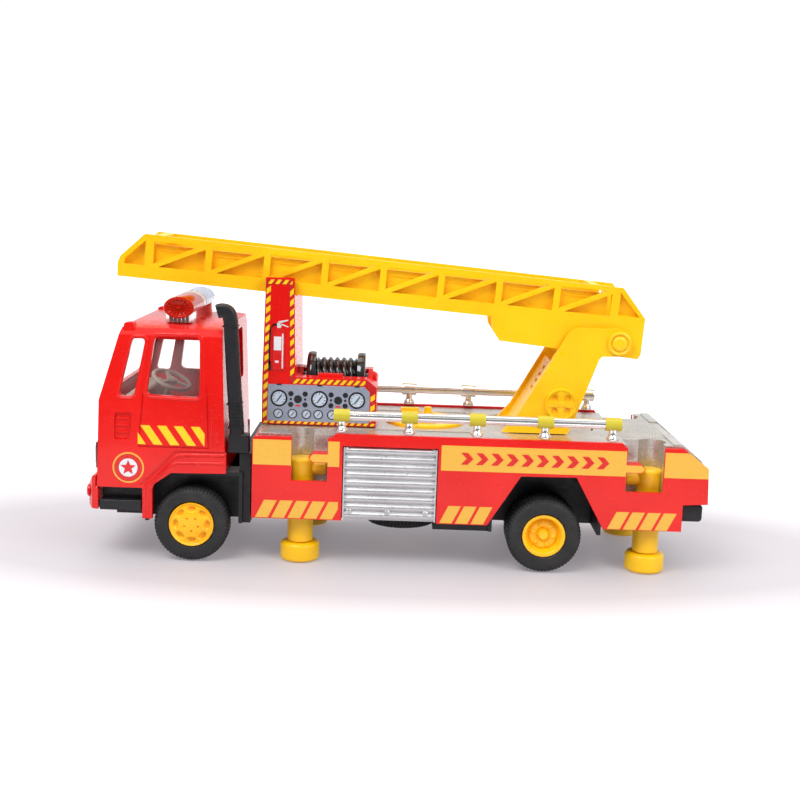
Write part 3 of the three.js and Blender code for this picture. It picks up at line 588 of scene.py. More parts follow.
# ---- outriggers ----
def outrigger(corner, x, facing_x, side):
    y = -21.7 * side
    corners = (0.5, 1.05, 1.57)
    bm = bmesh.new()
    foot = [(0, 0), (5.2, 0)]
    foot += [(5.2 + 1.05 * sin(t), 1.05 - 1.05 * cos(t)) for t in corners]
    foot += [(6.25, 4.8)]
    foot += [(5.05 + 1.2 * cos(t), 4.8 + 1.2 * sin(t)) for t in (0.5, 1.0, 1.57)]
    foot += [(3.3, 6.0), (3.25, 3.0), (0, 3.0)]
    upright = facing((x, y, 0), (0, 0, 1))
    add_lathe(bm, foot, upright, 64)
    name = "foot_" + corner
    finish_piece(name, bm, YELLOW, name, ["outrigger_" + name], smooth=45)
    bm = bmesh.new()
    leg = [(0, 3.3), (2.85, 3.3), (2.85, 6.3), (4.1, 6.35)]
    leg += [(4.1, 32.3), (3.9, 32.9), (3.4, 33.2), (2.6, 33.3), (0, 33.3)]
    add_lathe(bm, leg, upright, 56)
    grip = [(0, 3.0), (2.05, 3.0), (2.1, 7.3), (1.95, 7.75), (1.6, 8.0), (0, 8.0)]
    add_lathe(bm, grip, facing((x, y, 29.7), (facing_x, 0, 0)), 40)
    name = "leg_" + corner
    finish_piece(name, bm, YELLOW, name, ["outrigger_" + name], smooth=45)


for label, side in LEFT_RIGHT:
    outrigger("front_" + label, -30.7, 1, side)
    outrigger("rear_" + label, 80.2, -1, side)


# ---- side rails ----
RAIL_Z = 48.2
POSTS = [-17.9 + 21.1 * i for i in range(5)]


def side_rail(label, side):
    """A fluted tube on five posts, with a collar at each that is yellow on its outer half."""
    y = -28.0 * side
    bm = bmesh.new()
    tube = [(0, -20.3), (1.3, -20.3), (1.5, -20.0), (1.5, 69.0), (1.3, 69.2), (0, 69.2)]

    def fluted(r, h, i, turn):
        return (r - 0.09 if i % 8 == 0 else r, h)

    add_lathe(bm, tube, facing((0, y, RAIL_Z), (1, 0, 0)), 48, fluted)
    post = [(0, 43.1), (1.75, 43.1), (1.95, 43.4), (1.95, 43.9), (1.7, 44.3), (1.3, 44.7)]
    post += [(1.2, 45.4), (1.25, 46.0), (1.25, 47.2), (0, 47.2)]
    core = [(1.4, -2.35), (1.8, -2.35), (1.9, -2.1), (1.9, 2.1), (1.8, 2.35), (1.4, 2.35), (1.4, -2.35)]
    for x in POSTS:
        add_lathe(bm, post, facing((x, y, 0), (0, 0, 1)), 32)
        add_lathe(bm, core, facing((x, y, RAIL_Z), (1, 0, 0)), 32)
    finish_piece("rail_" + label, bm, CHROME, "chassis", ["side_rail_" + label])

    def half_round(radius, steps):
        turns = [pi * k / 16 for k in steps]
        return [(y - side * radius * sin(t), RAIL_Z + radius * cos(t)) for t in turns]

    sleeve = half_round(2.05, range(-1, 18)) + half_round(1.3, range(17, -2, -1))
    bm = bmesh.new()
    for x in POSTS:
        add_prism(bm, sleeve, "x", x - 2.5, x + 2.5)
    bevel_sharp(bm, 0.18, 2, 50)
    finish_piece("rail_sleeves_" + label, bm, SLEEVE_YELLOW, "chassis")


# ---- roller shutters ----
def shutter(label, side):
    """Rolled slats between two guides with toothed ends, and three latches near the bottom."""
    bm = bmesh.new()
    ribs, bottom, top = 9, 15.3, 38.5
    back, base, front = 28.2, 29.0, 29.75
    pitch = (top - bottom) / ribs
    wave = ((0, 0), (0.12, 0.12), (0.55, 0.3), (0.68, 0.45), (0.7, 0.62), (0.55, 0.8), (0.12, 0.93))
    face = [(base + out, bottom + (i + up) * pitch) for i in range(ribs) for out, up in wave]
    outline = [(-side * y, z) for y, z in face + [(base, top), (back, top), (back, bottom)]]
    add_prism(bm, outline, "x", -16.6, 11.8)
    guide = [(-side * y, z) for y, z in ((back, bottom), (front, bottom), (front, top), (back, top))]
    for x in (-17.0, 11.8):
        add_prism(bm, guide, "x", x, x + 0.4)
    for i in range(ribs):
        z = bottom + (i + 0.95) * pitch
        for x0, lean in ((-16.6, 0.5), (11.3, -0.5)):
            tooth = [(x0, z - 0.5), (x0 + 0.5, z - 0.5), (x0 + 0.5 + lean, z + 0.25), (x0 + lean, z + 0.25)]
            add_prism(bm, tooth, "y", -side * 28.9, -side * 29.72)
    latch = [(0, 0), (1.0, 0), (0.95, 0.35), (0.55, 0.62), (0, 0.7)]
    stud = [(0, 0), (0.42, 0), (0.35, 0.5), (0, 0.6)]
    for x in (-15.0, -3.0, 9.0):
        add_lathe(bm, latch, facing((x, -side * 29.2, 17.9), (0, -side, 0)), 24)
        add_lathe(bm, stud, facing((x, -side * 29.3, 19.0), (0, -side, 0)), 16)
    name = "shutter_" + label
    finish_piece(name, bm, SHUTTER, "chassis", ["side_" + name])


# ---- exhaust stack ----
def sweep(bm, path, section, up):
    """A closed outline carried along a list of points; up keeps it from twisting."""
    rings = []
    for i, point in enumerate(path):
        ahead = (Vector(path[min(i + 1, len(path) - 1)]) - Vector(path[max(i - 1, 0)])).normalized()
        across = ahead.cross(Vector(up)).normalized()
        over = across.cross(ahead)
        rings.append([bm.verts.new((Vector(point) + across * a + over * b) * MM) for a, b in section])
    count = len(section)
    for a, b in zip(rings, rings[1:]):
        for i in range(count):
            bm.faces.new((a[i], a[(i + 1) % count], b[(i + 1) % count], b[i]))
    bm.faces.new(rings[0])
    bm.faces.new(list(reversed(rings[-1])))


def curve_points(points, steps):
    """A smooth line through the points (Catmull-Rom)."""
    made = []
    spots = [Vector(p) for p in points]
    for i in range(len(spots) - 1):
        a, b, c, d = spots[max(i - 1, 0)], spots[i], spots[i + 1], spots[min(i + 2, len(spots) - 1)]
        square, cube = 2 * a - 5 * b + 4 * c - d, 3 * b - a - 3 * c + d
        for k in range(steps):
            t = k / steps
            made.append(0.5 * (2 * b + (c - a) * t + square * t * t + cube * t ** 3))
    return made + [spots[-1]]


def exhaust():
    """A square pipe bent forwards at its top, on a block, with straps and a louvred lower part."""
    y = -26.6
    bm = bmesh.new()
    bends = [(-50.7, 40.6), (-50.9, 45), (-51.7, 56), (-52.7, 72)]
    bends += [(-53.0, 76.4), (-53.8, 78.9), (-55.6, 79.5), (-57.0, 79.2)]
    path = curve_points([(x, y, z) for x, z in bends], 5)
    sweep(bm, path, rounded(block(-2.15, -2.1, 2.15, 2.1), 1.1, 4), (0, 1, 0))
    foot = rounded(block(-28.7, 35.1, -24.4, 41.2), 0.7)
    add_prism(bm, foot, "x", -53.0, -46.8)
    for k in range(6):
        z = 43.4 + 1.15 * k
        add_prism(bm, block(-52.0, z, -49.8, z + 0.55), "y", -28.6, -28.9)
    for z in (43.0, 50.4, 74.6):
        centre = -51.0 - (z - 43) * 0.06
        near, far = centre - 2.35, centre + 2.35
        band = rounded(block(near, z, far, z + 0.5), 0.2)
        add_prism(bm, band, "y", y - 2.3, y + 2.3)
    finish_piece("stack", bm, BLACK, "chassis", ["exhaust_stack"], smooth=38)


exhaust()
for label, side in LEFT_RIGHT:
    side_rail(label, side)
    shutter(label, side)


# ---- light bar ----
def lens(name, material, node, y0, y1, ribs):
    """An oval lens along Y whose ends have a ring of small facets, with thin hoops round it."""
    bm = bmesh.new()
    span = y1 - y0
    end = [(0, 0.55), (0.16, 0.5), (0.18, 0.95), (0.5, 0.8), (0.74, 0.5)]
    end += [(0.78, 0.12), (0.86, 0.0), (0.95, 0.05), (0.99, 0.35), (1.0, 0.8)]
    profile = end + [(r, span - h) for r, h in reversed(end)]

    def faceted(r, h, i, turn):
        inside = 0.17 < r < 0.76
        return r, h + (0.16 if i % 4 < 2 else -0.16) * (inside * (1 if h < span / 2 else -1))

    def across(y, half_width, half_height):
        lying = Matrix.Translation(Vector((-70, y, 79.4)) * MM) @ Matrix.Rotation(-pi / 2, 4, "X")
        return lying @ Matrix.Diagonal((half_width, half_height, 1, 1))

    add_lathe(bm, profile, across(y0, 4.75, 3.4), 64, faceted)
    hoop = [(0.99, -0.14), (1.012, -0.1), (1.012, 0.1), (0.99, 0.14), (0.99, -0.14)]
    for k in range(ribs):
        add_lathe(bm, hoop, across(y0 + span * (k + 1) / (ribs + 1), 4.7, 3.37), 64)
    finish_piece(name, bm, material, "chassis", [node])


def bar_base():
    """The light bar's foot: a narrow block with upright facets round it."""
    low, high = (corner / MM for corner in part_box("lightbar_base"))
    left, right = low.x + 1.8, high.x - 1.8
    front, back = low.y + 0.8, high.y - 0.8
    deep = 0.6
    bm = bmesh.new()
    add_prism(bm, block(left, front, right, back), "z", low.z, high.z)
    across, along = 6, 30
    step = (right - left) / across
    for i in range(across):
        x = left + step * i
        add_prism(bm, [(x, front), (x + step, front), (x + step / 2, front - deep)], "z", low.z, high.z)
        add_prism(bm, [(x, back), (x + step, back), (x + step / 2, back + deep)], "z", low.z, high.z)
    step = (back - front) / along
    for i in range(along):
        y = front + step * i
        add_prism(bm, [(left, y), (left, y + step), (left - deep, y + step / 2)], "z", low.z, high.z)
        add_prism(bm, [(right, y), (right, y + step), (right + deep, y + step / 2)], "z", low.z, high.z)
    finish_piece("bar_base", bm, CHROME, "chassis", ["lightbar_base"], smooth=20)


bar_base()
lens("lamp_red", RED_LENS, "lightbar_lens_red", -22, -3.2, 4)
lens("lamp_clear", BAND, "lightbar_lens_clear", -2.9, 2.9, 0)
lens("lamp_blue", BLUE_LENS, "lightbar_lens_blue", 3.2, 22, 4)


# ---- hose reel ----
def hose_reel():
    """Two flanges on a shaft, and between them a hose wound as a screw thread."""
    start, end, turns = -27.8, -14.6, 6
    pitch = (end - start) / turns
    core, thread = 5.4, 1.3
    left = [(0, -34.6), (1.5, -34.6), (1.5, -30.9), (7.6, -30.9), (8.2, -30.5)]
    left += [(8.4, -29.6), (8.4, -29.0), (8.2, -28.1), (7.6, -27.8), (5.2, start)]
    right = [(5.2, end), (7.6, -14.6), (8.2, -14.3), (8.4, -13.4), (8.4, -12.8)]
    right += [(8.2, -11.9), (7.6, -11.6), (1.5, -11.6), (1.5, -9.9), (0, -9.9)]
    steps = turns * 8
    drum = [(core, start + (end - start) * k / steps) for k in range(1, steps)]

    def wound(r, h, i, turn):
        if r != core:
            return r, h
        phase = (h - start) / pitch - turn / (2 * pi)
        return core + thread * abs(sin(pi * phase)) ** 0.7, h

    bm = bmesh.new()
    lying = Matrix.Translation(Vector((0, 0, REEL_Z)) * MM) @ Matrix.Rotation(pi / 2, 4, "Y")
    add_lathe(bm, left + drum + right, lying, 64, wound)
    finish_piece("reel", bm, GLOSS_BLACK, "reel", ["hose_reel"], smooth=50)


hose_reel()


def reel_lugs():
    """A moulded lug in front of the reel, and the round end of its axle's bearing."""
    bm = bmesh.new()
    lug = rounded(block(-26.6, -13.6, -18.6, -10.8), 0.6)
    add_prism(bm, lug, "z", 57.6, 58.9)
    cap = [(0, 0), (2.2, 0), (2.2, 1.0), (1.8, 1.4), (0, 1.4)]
    add_lathe(bm, cap, facing((-9.3, 0, REEL_Z), (1, 0, 0)), 32)
    bevel_sharp(bm, 0.2, 2, 50)
    finish_piece("reel_lugs", bm, RED, "chassis")


reel_lugs()


# ---- steering wheel ----
def steering():
    """A ring on three spokes, high at its front and leaning a little to the left, on a column."""
    rake, lean = radians(22), radians(12)
    place = Matrix.Translation(Vector((-78.7, 13, 51)) * MM)
    place = place @ Matrix.Rotation(lean, 4, "X") @ Matrix.Rotation(rake, 4, "Y")
    bm = bmesh.new()
    for i in range(3):
        add_prism(bm, [(1.2, -0.7), (6.2, -0.5), (6.2, 0.5), (1.2, 0.7)], "z", -0.4, 0.4)
        bm.transform(Matrix.Rotation(2 * pi / 3, 4, "Z"))
    bm.transform(place)
    ring = [polar(6.4, 0, 0.8, 2 * pi * k / 10) for k in range(10)]
    add_lathe(bm, ring + [ring[0]], place, 48)
    column = [(0, -10.4), (0.9, -10.4), (0.9, -1.2), (1.8, -1.2), (1.8, 0.6), (1.2, 0.9), (0, 0.9)]
    add_lathe(bm, column, place, 24)
    finish_piece("steering", bm, BEIGE, "chassis", ["steering_wheel"], smooth=45)


steering()


# ---- pivot pin ----
def pivot_pin():
    half = [(1.8, 14.5), (2.3, 14.5), (2.3, 14.6), (2.0, 14.9), (1.3, 15.0), (0, 15.0)]
    profile = [(r, -h) for r, h in reversed(half)] + half
    bm = bmesh.new()
    add_lathe(bm, profile, facing(LADDER_PIVOT, (0, 1, 0)), 40)
    finish_piece("ladder_pin", bm, YELLOW, "mast", ["pivot_pin"])


pivot_pin()


# ---- printed stickers ----
def clipped(outline, x0, x1):
    """The part of a convex outline between two upright lines."""
    for edge, keep in ((x0, 1), (x1, -1)):
        made = []
        for i, (ax, az) in enumerate(outline):
            bx, bz = outline[(i + 1) % len(outline)]
            inside_a, inside_b = keep * (ax - edge) >= 0, keep * (bx - edge) >= 0
            if inside_a:
                made.append((ax, az))
            if inside_a != inside_b:
                t = (edge - ax) / (bx - ax)
                made.append((edge, az + t * (bz - az)))
        outline = made
    return outline


def bars(x0, z0, z1, pitch, width, lean, count, clip=None):
    """Leaning bars from z0 to z1, cut off at the clip's two X places."""
    bar = [(x0, z0), (x0 + width, z0), (x0 + width + lean, z1), (x0 + lean, z1)]
    made = [[(x + pitch * i, z) for x, z in bar] for i in range(count)]
    if clip:
        made = [clipped(bar, *clip) for bar in made]
    return [bar for bar in made if len(bar) > 2]


def ring_parts(cx, cz, inner, outer, parts=28):
    """A flat ring as a chain of small quads."""
    made = []
    for i in range(parts):
        a, b = 2 * pi * i / parts, 2 * pi * (i + 1) / parts
        corners = ((inner, a), (outer, a), (outer, b), (inner, b))
        made.append([polar(cx, cz, radius, turn) for radius, turn in corners])
    return made


def star(cx, cz, outer, inner, points=5):
    """A star as triangles about its middle."""
    count = 2 * points
    turns = [pi / 2 - pi * i / points for i in range(count)]
    corner = [polar(cx, cz, inner if i % 2 else outer, turn) for i, turn in enumerate(turns)]
    return [[(cx, cz), corner[i], corner[(i + 1) % count]] for i in range(count)]


BADGE = (-84.0, 29.8)


def body_stickers(label, side):
    """Gold bands and bars along the bed, red chevrons on them, and the door's stripes and badge."""
    gold = [
        block(-45.2, 32.2, -33.3, 40.2),
        block(-21.9, 32.2, -18.3, 40.2),
        block(13.4, 32.2, 71.0, 40.2),
        [(83.0, 32.2), (96.9, 32.2), (96.7, 35.4), (90.6, 40.2), (83.0, 40.2)],
        [(-21.9, 33.5), (-26.6, 33.5), (-27.6, 34.8), (-26.5, 36.0), (-21.9, 36.0)],
        [(71.0, 33.5), (75.8, 33.5), (77.1, 34.6), (75.7, 35.8), (71.0, 35.8)],
    ]
    gold += bars(-44.3, 15.3, 20.9, 5.06, 4.0, 2.75, 5, (-45.2, -18.4))
    gold += bars(13.5, 15.3, 20.9, 4.93, 3.9, 2.7, 3)
    gold += bars(66.2, 15.2, 20.8, 4.95, 3.95, 2.7, 4)
    stickers("gold_" + label, gold, GOLD_INK, side)
    chevrons = []
    for i in range(10):
        x = 19.5 + 4.7 * i
        point = [(x + 3.9, 36.2), (x + 1.8, 36.2)]
        chevrons += [[(x, 34.3), (x + 2.1, 34.3)] + point, point + [(x, 38.1), (x + 2.1, 38.1)]]
    stickers("chevrons_" + label, chevrons, RED_INK, side, layer=2)
    door_stripes = bars(-85.4, 43.4, 37.4, 5.2, 2.8, 4.1, 5, (-81.0, -60.3))
    stickers("door_stripes_" + label, door_stripes, YELLOW_INK, side)
    stickers("badge_rim_" + label, [disc(*BADGE, 4.9)], GOLD_INK, side)
    stickers("badge_field_" + label, [disc(*BADGE, 4.4)], RED_INK, side, layer=2)
    stickers("badge_disc_" + label, [disc(*BADGE, 2.9, 36)], WHITE_INK, side, layer=3)
    stickers("badge_star_" + label, star(*BADGE, 2.5, 1.1), RED_INK, side, layer=4)


PUMP_FACE = 15.0  # the pump tower's half width


def hazard_frame(put):
    """The dark strips round the panel and up the tower, with leaning yellow bars on them."""
    strips = [
        block(-44.2, 42.5, -7.9, 43.4),
        [(-44.2, 43.4), (-42.6, 43.4), (-42.0, 87.0), (-43.4, 88.8)],
        [(-43.4, 88.8), (-42.0, 87.2), (-36.2, 87.2), (-34.9, 88.8)],
        [(-34.9, 88.8), (-36.2, 87.2), (-35.6, 57.3), (-34.2, 57.3)],
        [(-35.6, 57.3), (-35.6, 55.6), (-11.4, 55.6), (-11.2, 57.3)],
        [(-11.2, 57.3), (-11.4, 55.6), (-9.6, 54.1), (-8.0, 55.0)],
        [(-9.6, 54.1), (-9.6, 43.4), (-8.0, 43.4), (-8.0, 55.0)],
    ]
    put("hazard_ground", strips, DARK_INK, "seat_red", 1)

    def upright(x_low, x_high, z0, z1, width, rise):
        """Bars up a strip that runs from x_low at z0 to x_high at z1."""
        count = int((z1 - z0) / 3.05)
        made = []
        for i in range(count):
            z = z0 + (z1 - z0) * i / count
            x = x_low + (x_high - x_low) * (z - z0) / (z1 - z0)
            made.append([(x, z), (x + width, z + rise), (x + width, z + rise + 1.75), (x, z + 1.75)])
        return made

    frame_bars = bars(-44.0, 42.55, 43.35, 2.15, 1.2, 0.6, 17, (-44.1, -8.0))
    frame_bars += bars(-34.6, 55.7, 57.2, 2.15, 1.15, 1.3, 11, (-34.4, -11.3))
    frame_bars += upright(-44.1, -43.3, 44.0, 87.0, 1.35, 1.1)
    frame_bars += upright(-35.4, -36.0, 58.0, 86.5, 1.2, 1.1)
    frame_bars += upright(-9.5, -9.5, 43.8, 53.6, 1.4, 1.0)
    frame_bars += bars(-43.0, 87.3, 88.7, 2.3, 1.2, 1.0, 4, (-42.9, -35.2))
    put("hazard_bars", frame_bars, YELLOW_INK, "ladder_yellow", 2)


def gauges_and_knobs(put):
    """Three big and six small gauges, with knobs, buttons and two red marks between them."""
    rims, dials, marks, needles, knobs, warnings = [], [], [], [], [], []
    big_gauges = (-38.9, -25.9, -13.9)
    gauges = [(x, 50.8, 2.75) for x in big_gauges]
    gauges += [(x, 45.8, 1.55) for x in (-39.1, -34.5, -30.0, -26.2, -21.8, -17.6)]
    for x, z, radius in gauges:
        rims += ring_parts(x, z, radius * 0.78, radius, 32)
        dials.append(disc(x, z, radius * 0.8, 28))
        far, near, half = radius * 0.72, radius * (0.55 if radius > 2 else 0.58), radius / 32
        for k in range(9):
            turn = radians(225 - 270 * k / 8)
            over_x, over_z = -sin(turn) * half, cos(turn) * half
            (ax, az), (bx, bz) = polar(x, z, near, turn), polar(x, z, far, turn)
            mark = [(ax + over_x, az + over_z), (ax - over_x, az - over_z)]
            marks.append(mark + [(bx - over_x, bz - over_z), (bx + over_x, bz + over_z)])
        reach = radius * 0.55
        pointer = ((-0.6, -0.75), (-0.35, -0.75), (0.7, 0.7), (0.45, 0.75))
        needles.append([(x + reach * along, z + reach * up) for along, up in pointer])
    for x in (-32.8, -19.9):
        knobs.append(disc(x, 50.6, 1.3, 24))
        knobs += [disc(x + dx, 50.6 + dz, 0.85, 18) for dx in (-2.3, 2.3) for dz in (-1.75, 1.75)]
        knobs += [disc(x + dx, 50.6, 0.4, 12) for dx in (-2.3, 2.3)]
        warnings.append(block(x - 0.75, 48.3, x + 0.75, 48.8))
    put("gauge_rims", rims, BLACK_INK, "black_gloss", 2)
    put("gauge_dials", dials, DIAL_INK, "shutter_silver", 2)
    put("gauge_marks", marks, BLACK_INK, "black_gloss", 3)
    put("gauge_needles", needles, BLACK_INK, "black_gloss", 4)
    knobs += [block(x - 0.8, 55.0, x + 0.8, 55.5) for x in big_gauges]
    put("panel_knobs", knobs, BLACK_INK, "black_gloss", 2)
    put("panel_warnings", warnings, RED_INK, "body_red", 2)


def extinguisher(put):
    """A red bottle with a dark outline, a blank label, a valve with two levers, and a black hose."""
    shade = [(-41.3, 59.6), (-37.1, 59.6), (-37.1, 72.3), (-38.1, 73.7), (-40.3, 73.7), (-41.3, 72.3)]
    put("bottle_shade", [rounded(shade, 0.8)], SEAT_INK, "seat_red", 1)
    body = [(-41.1, 59.8), (-37.3, 59.8), (-37.3, 72.2), (-38.2, 73.4), (-40.2, 73.4), (-41.1, 72.2)]
    put("bottle", [rounded(body, 0.7)], RED_INK, "body_red", 2)
    label = [block(-40.8, 66.2, -38.4, 70.6), block(-38.2, 60.4, -37.8, 71.6)]
    label.append(block(-40.4, 62.2, -39.2, 62.9))
    put("bottle_label", label, WHITE_INK, "clear_plastic", 3)
    valve = [
        [(-39.8, 73.4), (-38.6, 73.4), (-38.5, 75.0), (-39.9, 75.0)],
        [(-39.4, 74.8), (-36.4, 75.7), (-36.3, 76.1), (-39.5, 75.5)],
        [(-38.8, 74.4), (-36.3, 73.6), (-36.2, 73.9), (-38.8, 74.9)],
    ]
    put("bottle_valve", valve, SILVER_INK, "rail_chrome", 2)
    bends = [(-41.0, 74.4), (-42.0, 73.0), (-42.2, 68.0), (-42.1, 61.5)]
    half = 0.28
    hose = []
    for (ax, az), (bx, bz) in zip(bends, bends[1:]):
        hose.append([(ax - half, az), (ax + half, az), (bx + half, bz), (bx - half, bz)])
    hose.append([(-39.9, 74.2), (-39.9, 74.8), (-41.2, 74.7), (-41.2, 74.1)])
    hose.append([(-42.5, 59.6), (-41.6, 59.6), (-41.7, 62.6), (-42.5, 62.6)])
    put("bottle_hose", hose, BLACK_INK, "black_gloss", 2)


def panel(label, side):
    def put(name, outlines, material, slot, layer):
        stickers(f"{name}_{label}", outlines, material, side, PUMP_FACE, layer)

    plate = [(-42.6, 43.4), (-9.8, 43.4), (-9.8, 53.6), (-11.6, 55.3), (-42.6, 55.3)]
    put("panel_grey", [plate], GREY_INK, "shutter_silver", 1)
    hazard_frame(put)
    gauges_and_knobs(put)
    extinguisher(put)


for label, side in LEFT_RIGHT:
    body_stickers(label, side)
    panel(label, side)


# ---- mouldings on the cab ----
def grown(outline, by):
    """A convex outline moved out by a distance."""
    count = len(outline)
    centre = Vector((sum(x for x, _ in outline) / count, sum(z for _, z in outline) / count))
    made = []
    for i, point in enumerate(outline):
        here, before, after = Vector(point), Vector(outline[i - 1]), Vector(outline[(i + 1) % count])
        sides = [(here - before).orthogonal().normalized(), (after - here).orthogonal().normalized()]
        sides = [n if n.dot(here - centre) > 0 else -n for n in sides]
        out = (sides[0] + sides[1]).normalized()
        made.append(tuple(here + out * (by / max(0.3, out.dot(sides[0])))))
    return made


BELT = 50.8  # above this height the cab's sides lean in
TAPER = 0.058
BEAD = ((-1, -0.4), (-0.9, 0.15), (-0.5, 0.85), (0, 1), (0.5, 0.85), (0.9, 0.15), (1, -0.4))
DOOR_WINDOW = [(-76, 70.9), (-62.1, 71.1), (-62, 52.5), (-78.4, 53)]
QUARTER_WINDOW = [(-82.8, 70.4), (-78.8, 70.3), (-82.3, 52.3), (-87.0, 52.4)]


def beaded(bm, line, side, width, lift, closed=True):
    """A round-topped bead along a line of X and Z points on the cab's side."""
    count = len(line)
    spots = [Vector((x, 0, z)) for x, z in line]
    rings = []
    for i in range(count):
        before = spots[i - 1] if closed or i else spots[i]
        after = spots[(i + 1) % count] if closed or i + 1 < count else spots[i]
        ahead = (after - before).normalized()
        across = Vector((-ahead.z, 0, ahead.x))
        face = HALF_WIDTH - max(0.0, spots[i].z - BELT) * TAPER
        ring = []
        for a, out in BEAD:
            depth = face + out * lift
            place = spots[i] + across * (a * width / 2)
            ring.append(bm.verts.new(Vector((place.x, -side * depth, place.z)) * MM))
        rings.append(ring)
    pairs = list(zip(rings, rings[1:])) + ([(rings[-1], rings[0])] if closed else [])
    for a, b in pairs:
        for i in range(len(a) - 1):
            bm.faces.new((a[i], a[i + 1], b[i + 1], b[i]))


def cab_mouldings(label, side):
    """Window frames, beads over the wheel arch, a door joint, a badge pad, a latch and louvres."""
    bm = bmesh.new()
    beaded(bm, rounded(grown(DOOR_WINDOW, 0.75), 2.4, 6), side, 1.15, 0.26)
    beaded(bm, rounded(grown(QUARTER_WINDOW, 0.65), 2.0, 6), side, 1.0, 0.26)
    arch = rounded([(-79.0, 13.9), (-79.0, 24.4), (-68.9, 34.3), (-54.2, 34.5)], 3, 6)
    beaded(bm, [(-79.0, 13.9)] + arch[5:-5] + [(-54.2, 34.5)], side, 1.2, 0.28, closed=False)
    inner = rounded([(-77.3, 13.9), (-77.3, 24.0), (-70.6, 31.6), (-54.2, 31.9)], 3, 6)
    beaded(bm, [(-77.3, 13.9)] + inner[5:-5] + [(-54.2, 31.9)], side, 1.0, 0.2, closed=False)
    beaded(bm, [(-58.2, 38.2), (-58.0, 49.6)], side, 0.5, 0.2, closed=False)
    finish_piece(f"cab_beads_{label}", bm, RED, "chassis", smooth=60)
    bm = bmesh.new()
    pad = disc(*BADGE, 6.0, 48)
    add_prism(bm, pad, "y", -side * (HALF_WIDTH - 0.5), -side * (HALF_WIDTH + 0.03))
    handle = rounded(block(-57.4, 38.0, -55.6, 42.2), 0.4)
    add_prism(bm, handle, "y", -side * (HALF_WIDTH - 0.5), -side * (HALF_WIDTH + 0.26))
    for k in range(3):
        louvre = block(-88.1, 40.6 + 2.2 * k, -83.5, 41.3 + 2.2 * k)
        add_prism(bm, louvre, "y", -side * (HALF_WIDTH - 1.2), -side * (HALF_WIDTH - 0.45))
    bevel_sharp(bm, 0.12, 2, 40)
    finish_piece(f"cab_details_{label}", bm, RED, "chassis")


for label, side in LEFT_RIGHT:
    cab_mouldings(label, side)


# ---- mast mouldings ----
def mast_mouldings(label, side):
    """A moulded hand wheel on each cheek, and the pivot's raised ring."""
    bm = bmesh.new()
    x, z = 51.8, 51.6
    outward = (0, -side, 0)
    place = facing((x, -13.4 * side, z), outward)
    ring = [(4.25, 0), (5.25, 0), (5.25, 0.85), (5.0, 1.2), (4.5, 1.2), (4.25, 0.9), (4.25, 0)]
    add_lathe(bm, ring, place, 64)
    add_lathe(bm, [(0, 0), (1.2, 0), (1.2, 0.9), (0.9, 1.25), (0, 1.3)], place, 28)
    spoke = ((0.9, -0.75), (4.5, -1.05), (4.5, 1.05), (0.9, 0.75))
    for quarter in range(4):
        turned = [Matrix.Rotation(radians(90 * quarter), 2) @ Vector(p) for p in spoke]
        add_prism(bm, [(x + p.x, z + p.y) for p in turned], "y", -13.6 * side, -14.48 * side)
    pivot = facing((LADDER_PIVOT[0], -14.15 * side, LADDER_PIVOT[2]), outward)
    add_lathe(bm, [(2.7, 0), (3.8, 0), (3.7, 0.3), (3.3, 0.45), (2.9, 0.3), (2.7, 0)], pivot, 48)
    finish_piece(f"mast_wheel_{label}", bm, YELLOW, "mast")


for label, side in LEFT_RIGHT:
    mast_mouldings(label, side)


# ---- ladder mouldings ----
def on_ladder():
    """The lowered ladder's own frame: -X runs from the pivot to the tip."""
    return Matrix.Translation(Vector(LADDER_PIVOT) * MM) @ Matrix.Rotation(LADDER_PITCH, 4, "Y")


def inner_ladder():
    """Two solid side plates with a fine ridge and a nose, joined by rungs and an end bar."""
    inner, outer = 7.9, 9.3
    pitch = 18.6
    plate = [(-157.4, 6.8), (-157.4, 11), (-152.6, 15.2), (-5, 15.2), (-5, 6.8)]
    nose = [(-157.2, 6.8), (-157.2, 11), (-152.6, 15.2), (-152.6, 17)]
    nose += [(-155, 17), (-160.6, 11.4), (-160.6, 6.8)]
    rung_end = inner + 0.3
    bm = bmesh.new()
    for _, side in LEFT_RIGHT:
        add_prism(bm, plate, "y", -side * inner, -side * outer)
        add_prism(bm, nose, "y", -side * (inner + 0.2), -side * (outer - 0.2))
        add_prism(bm, block(-152, 13.3, -8, 13.75), "y", -side * 9.2, -side * 9.55)
    for i in range(9):
        x = -6 - pitch * i
        add_prism(bm, block(x - 0.9, 6.8, x + 0.9, 8.4), "y", -rung_end, rung_end)
    add_prism(bm, block(-157.4, 6.8, -155.8, 10.6), "y", -rung_end, rung_end)
    bevel_sharp(bm, 0.15, 2, 20)
    bm.transform(on_ladder())
    finish_piece("inner_run", bm, YELLOW, "ladder_extension", ["inner_ladder"])


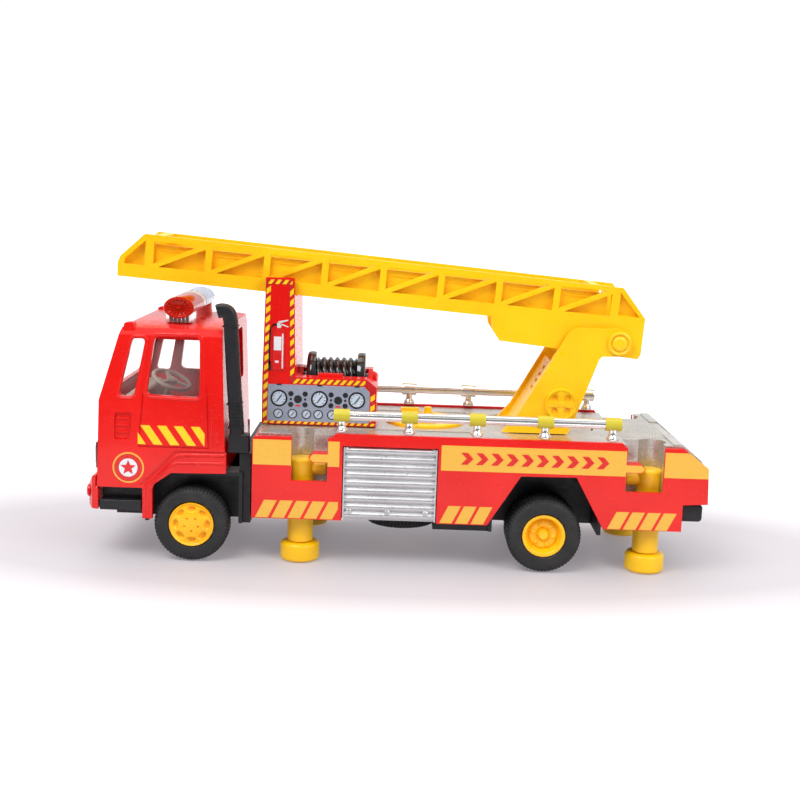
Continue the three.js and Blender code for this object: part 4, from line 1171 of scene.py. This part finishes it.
def heel_plates():
    """A plate behind the window at each of the outer ladder's rear ends."""
    heel = [(-4.0, 6.5), (7.0, 6.5), (7.0, 9.4), (-0.2, 16.8), (-4.0, 16.8)]
    bm = bmesh.new()
    for _, side in LEFT_RIGHT:
        add_prism(bm, heel, "y", -side * 9.45, -side * 9.75)
    bm.transform(on_ladder())
    finish_piece("heel_plates", bm, YELLOW, "ladder")


inner_ladder()
heel_plates()


# ---- bumper corners ----
def bumper_buttons():
    button = [(0, 0), (2.2, 0), (2.2, 0.5), (1.8, 0.95), (0, 1.1)]
    bm = bmesh.new()
    for _, side in LEFT_RIGHT:
        add_lathe(bm, button, facing((-97.0, -24.5 * side, 20.9), (-1, 0, 0)), 32)
    finish_piece("bumper_buttons", bm, RED, "chassis")


bumper_buttons()


# ---- deck details ----
def deck_details():
    """Ridges across the tail, a line either side of the hand wheel, and raised panels at the end."""
    bm = bmesh.new()
    for k in range(17):
        x = 70.8 + 0.95 * k
        half = 16.8 if x < 85.2 else 27.6  # the ridges end at the rear outriggers' wells
        add_prism(bm, [(x, 41.95), (x + 0.5, 41.95), (x + 0.36, 42.2), (x + 0.14, 42.2)], "y", -half, half)
    for y in (-17.6, 17.6):
        add_prism(bm, rounded(block(-18, y - 0.3, 23, y + 0.3), 0.2), "z", 41.9, 42.25)
    finish_piece("deck_ribs", bm, SILVER, "chassis", smooth=30)
    bm = bmesh.new()
    crest, tail = 88.6, 95.1
    drop = (DECK - 36.7) / (95.3 - crest) * (tail - crest)
    end = [(tail, DECK + 0.45 - drop), (tail, DECK - 0.1 - drop)]
    for y0, y1, start in ((-27.8, -11.0, 85.8), (11.0, 27.8, 85.8)):
        top = [(start, DECK + 0.45), (crest, DECK + 0.45)] + end + [(crest, DECK - 0.1), (start, DECK - 0.1)]
        add_prism(bm, top, "y", y0, y1)
    add_prism(bm, [(88.7, DECK + 0.35)] + end + [(88.7, DECK - 0.1)], "y", -10.6, 10.6)
    bevel_sharp(bm, 0.15, 2, 30)
    finish_piece("tail_panels", bm, SILVER, "chassis", smooth=30)


deck_details()
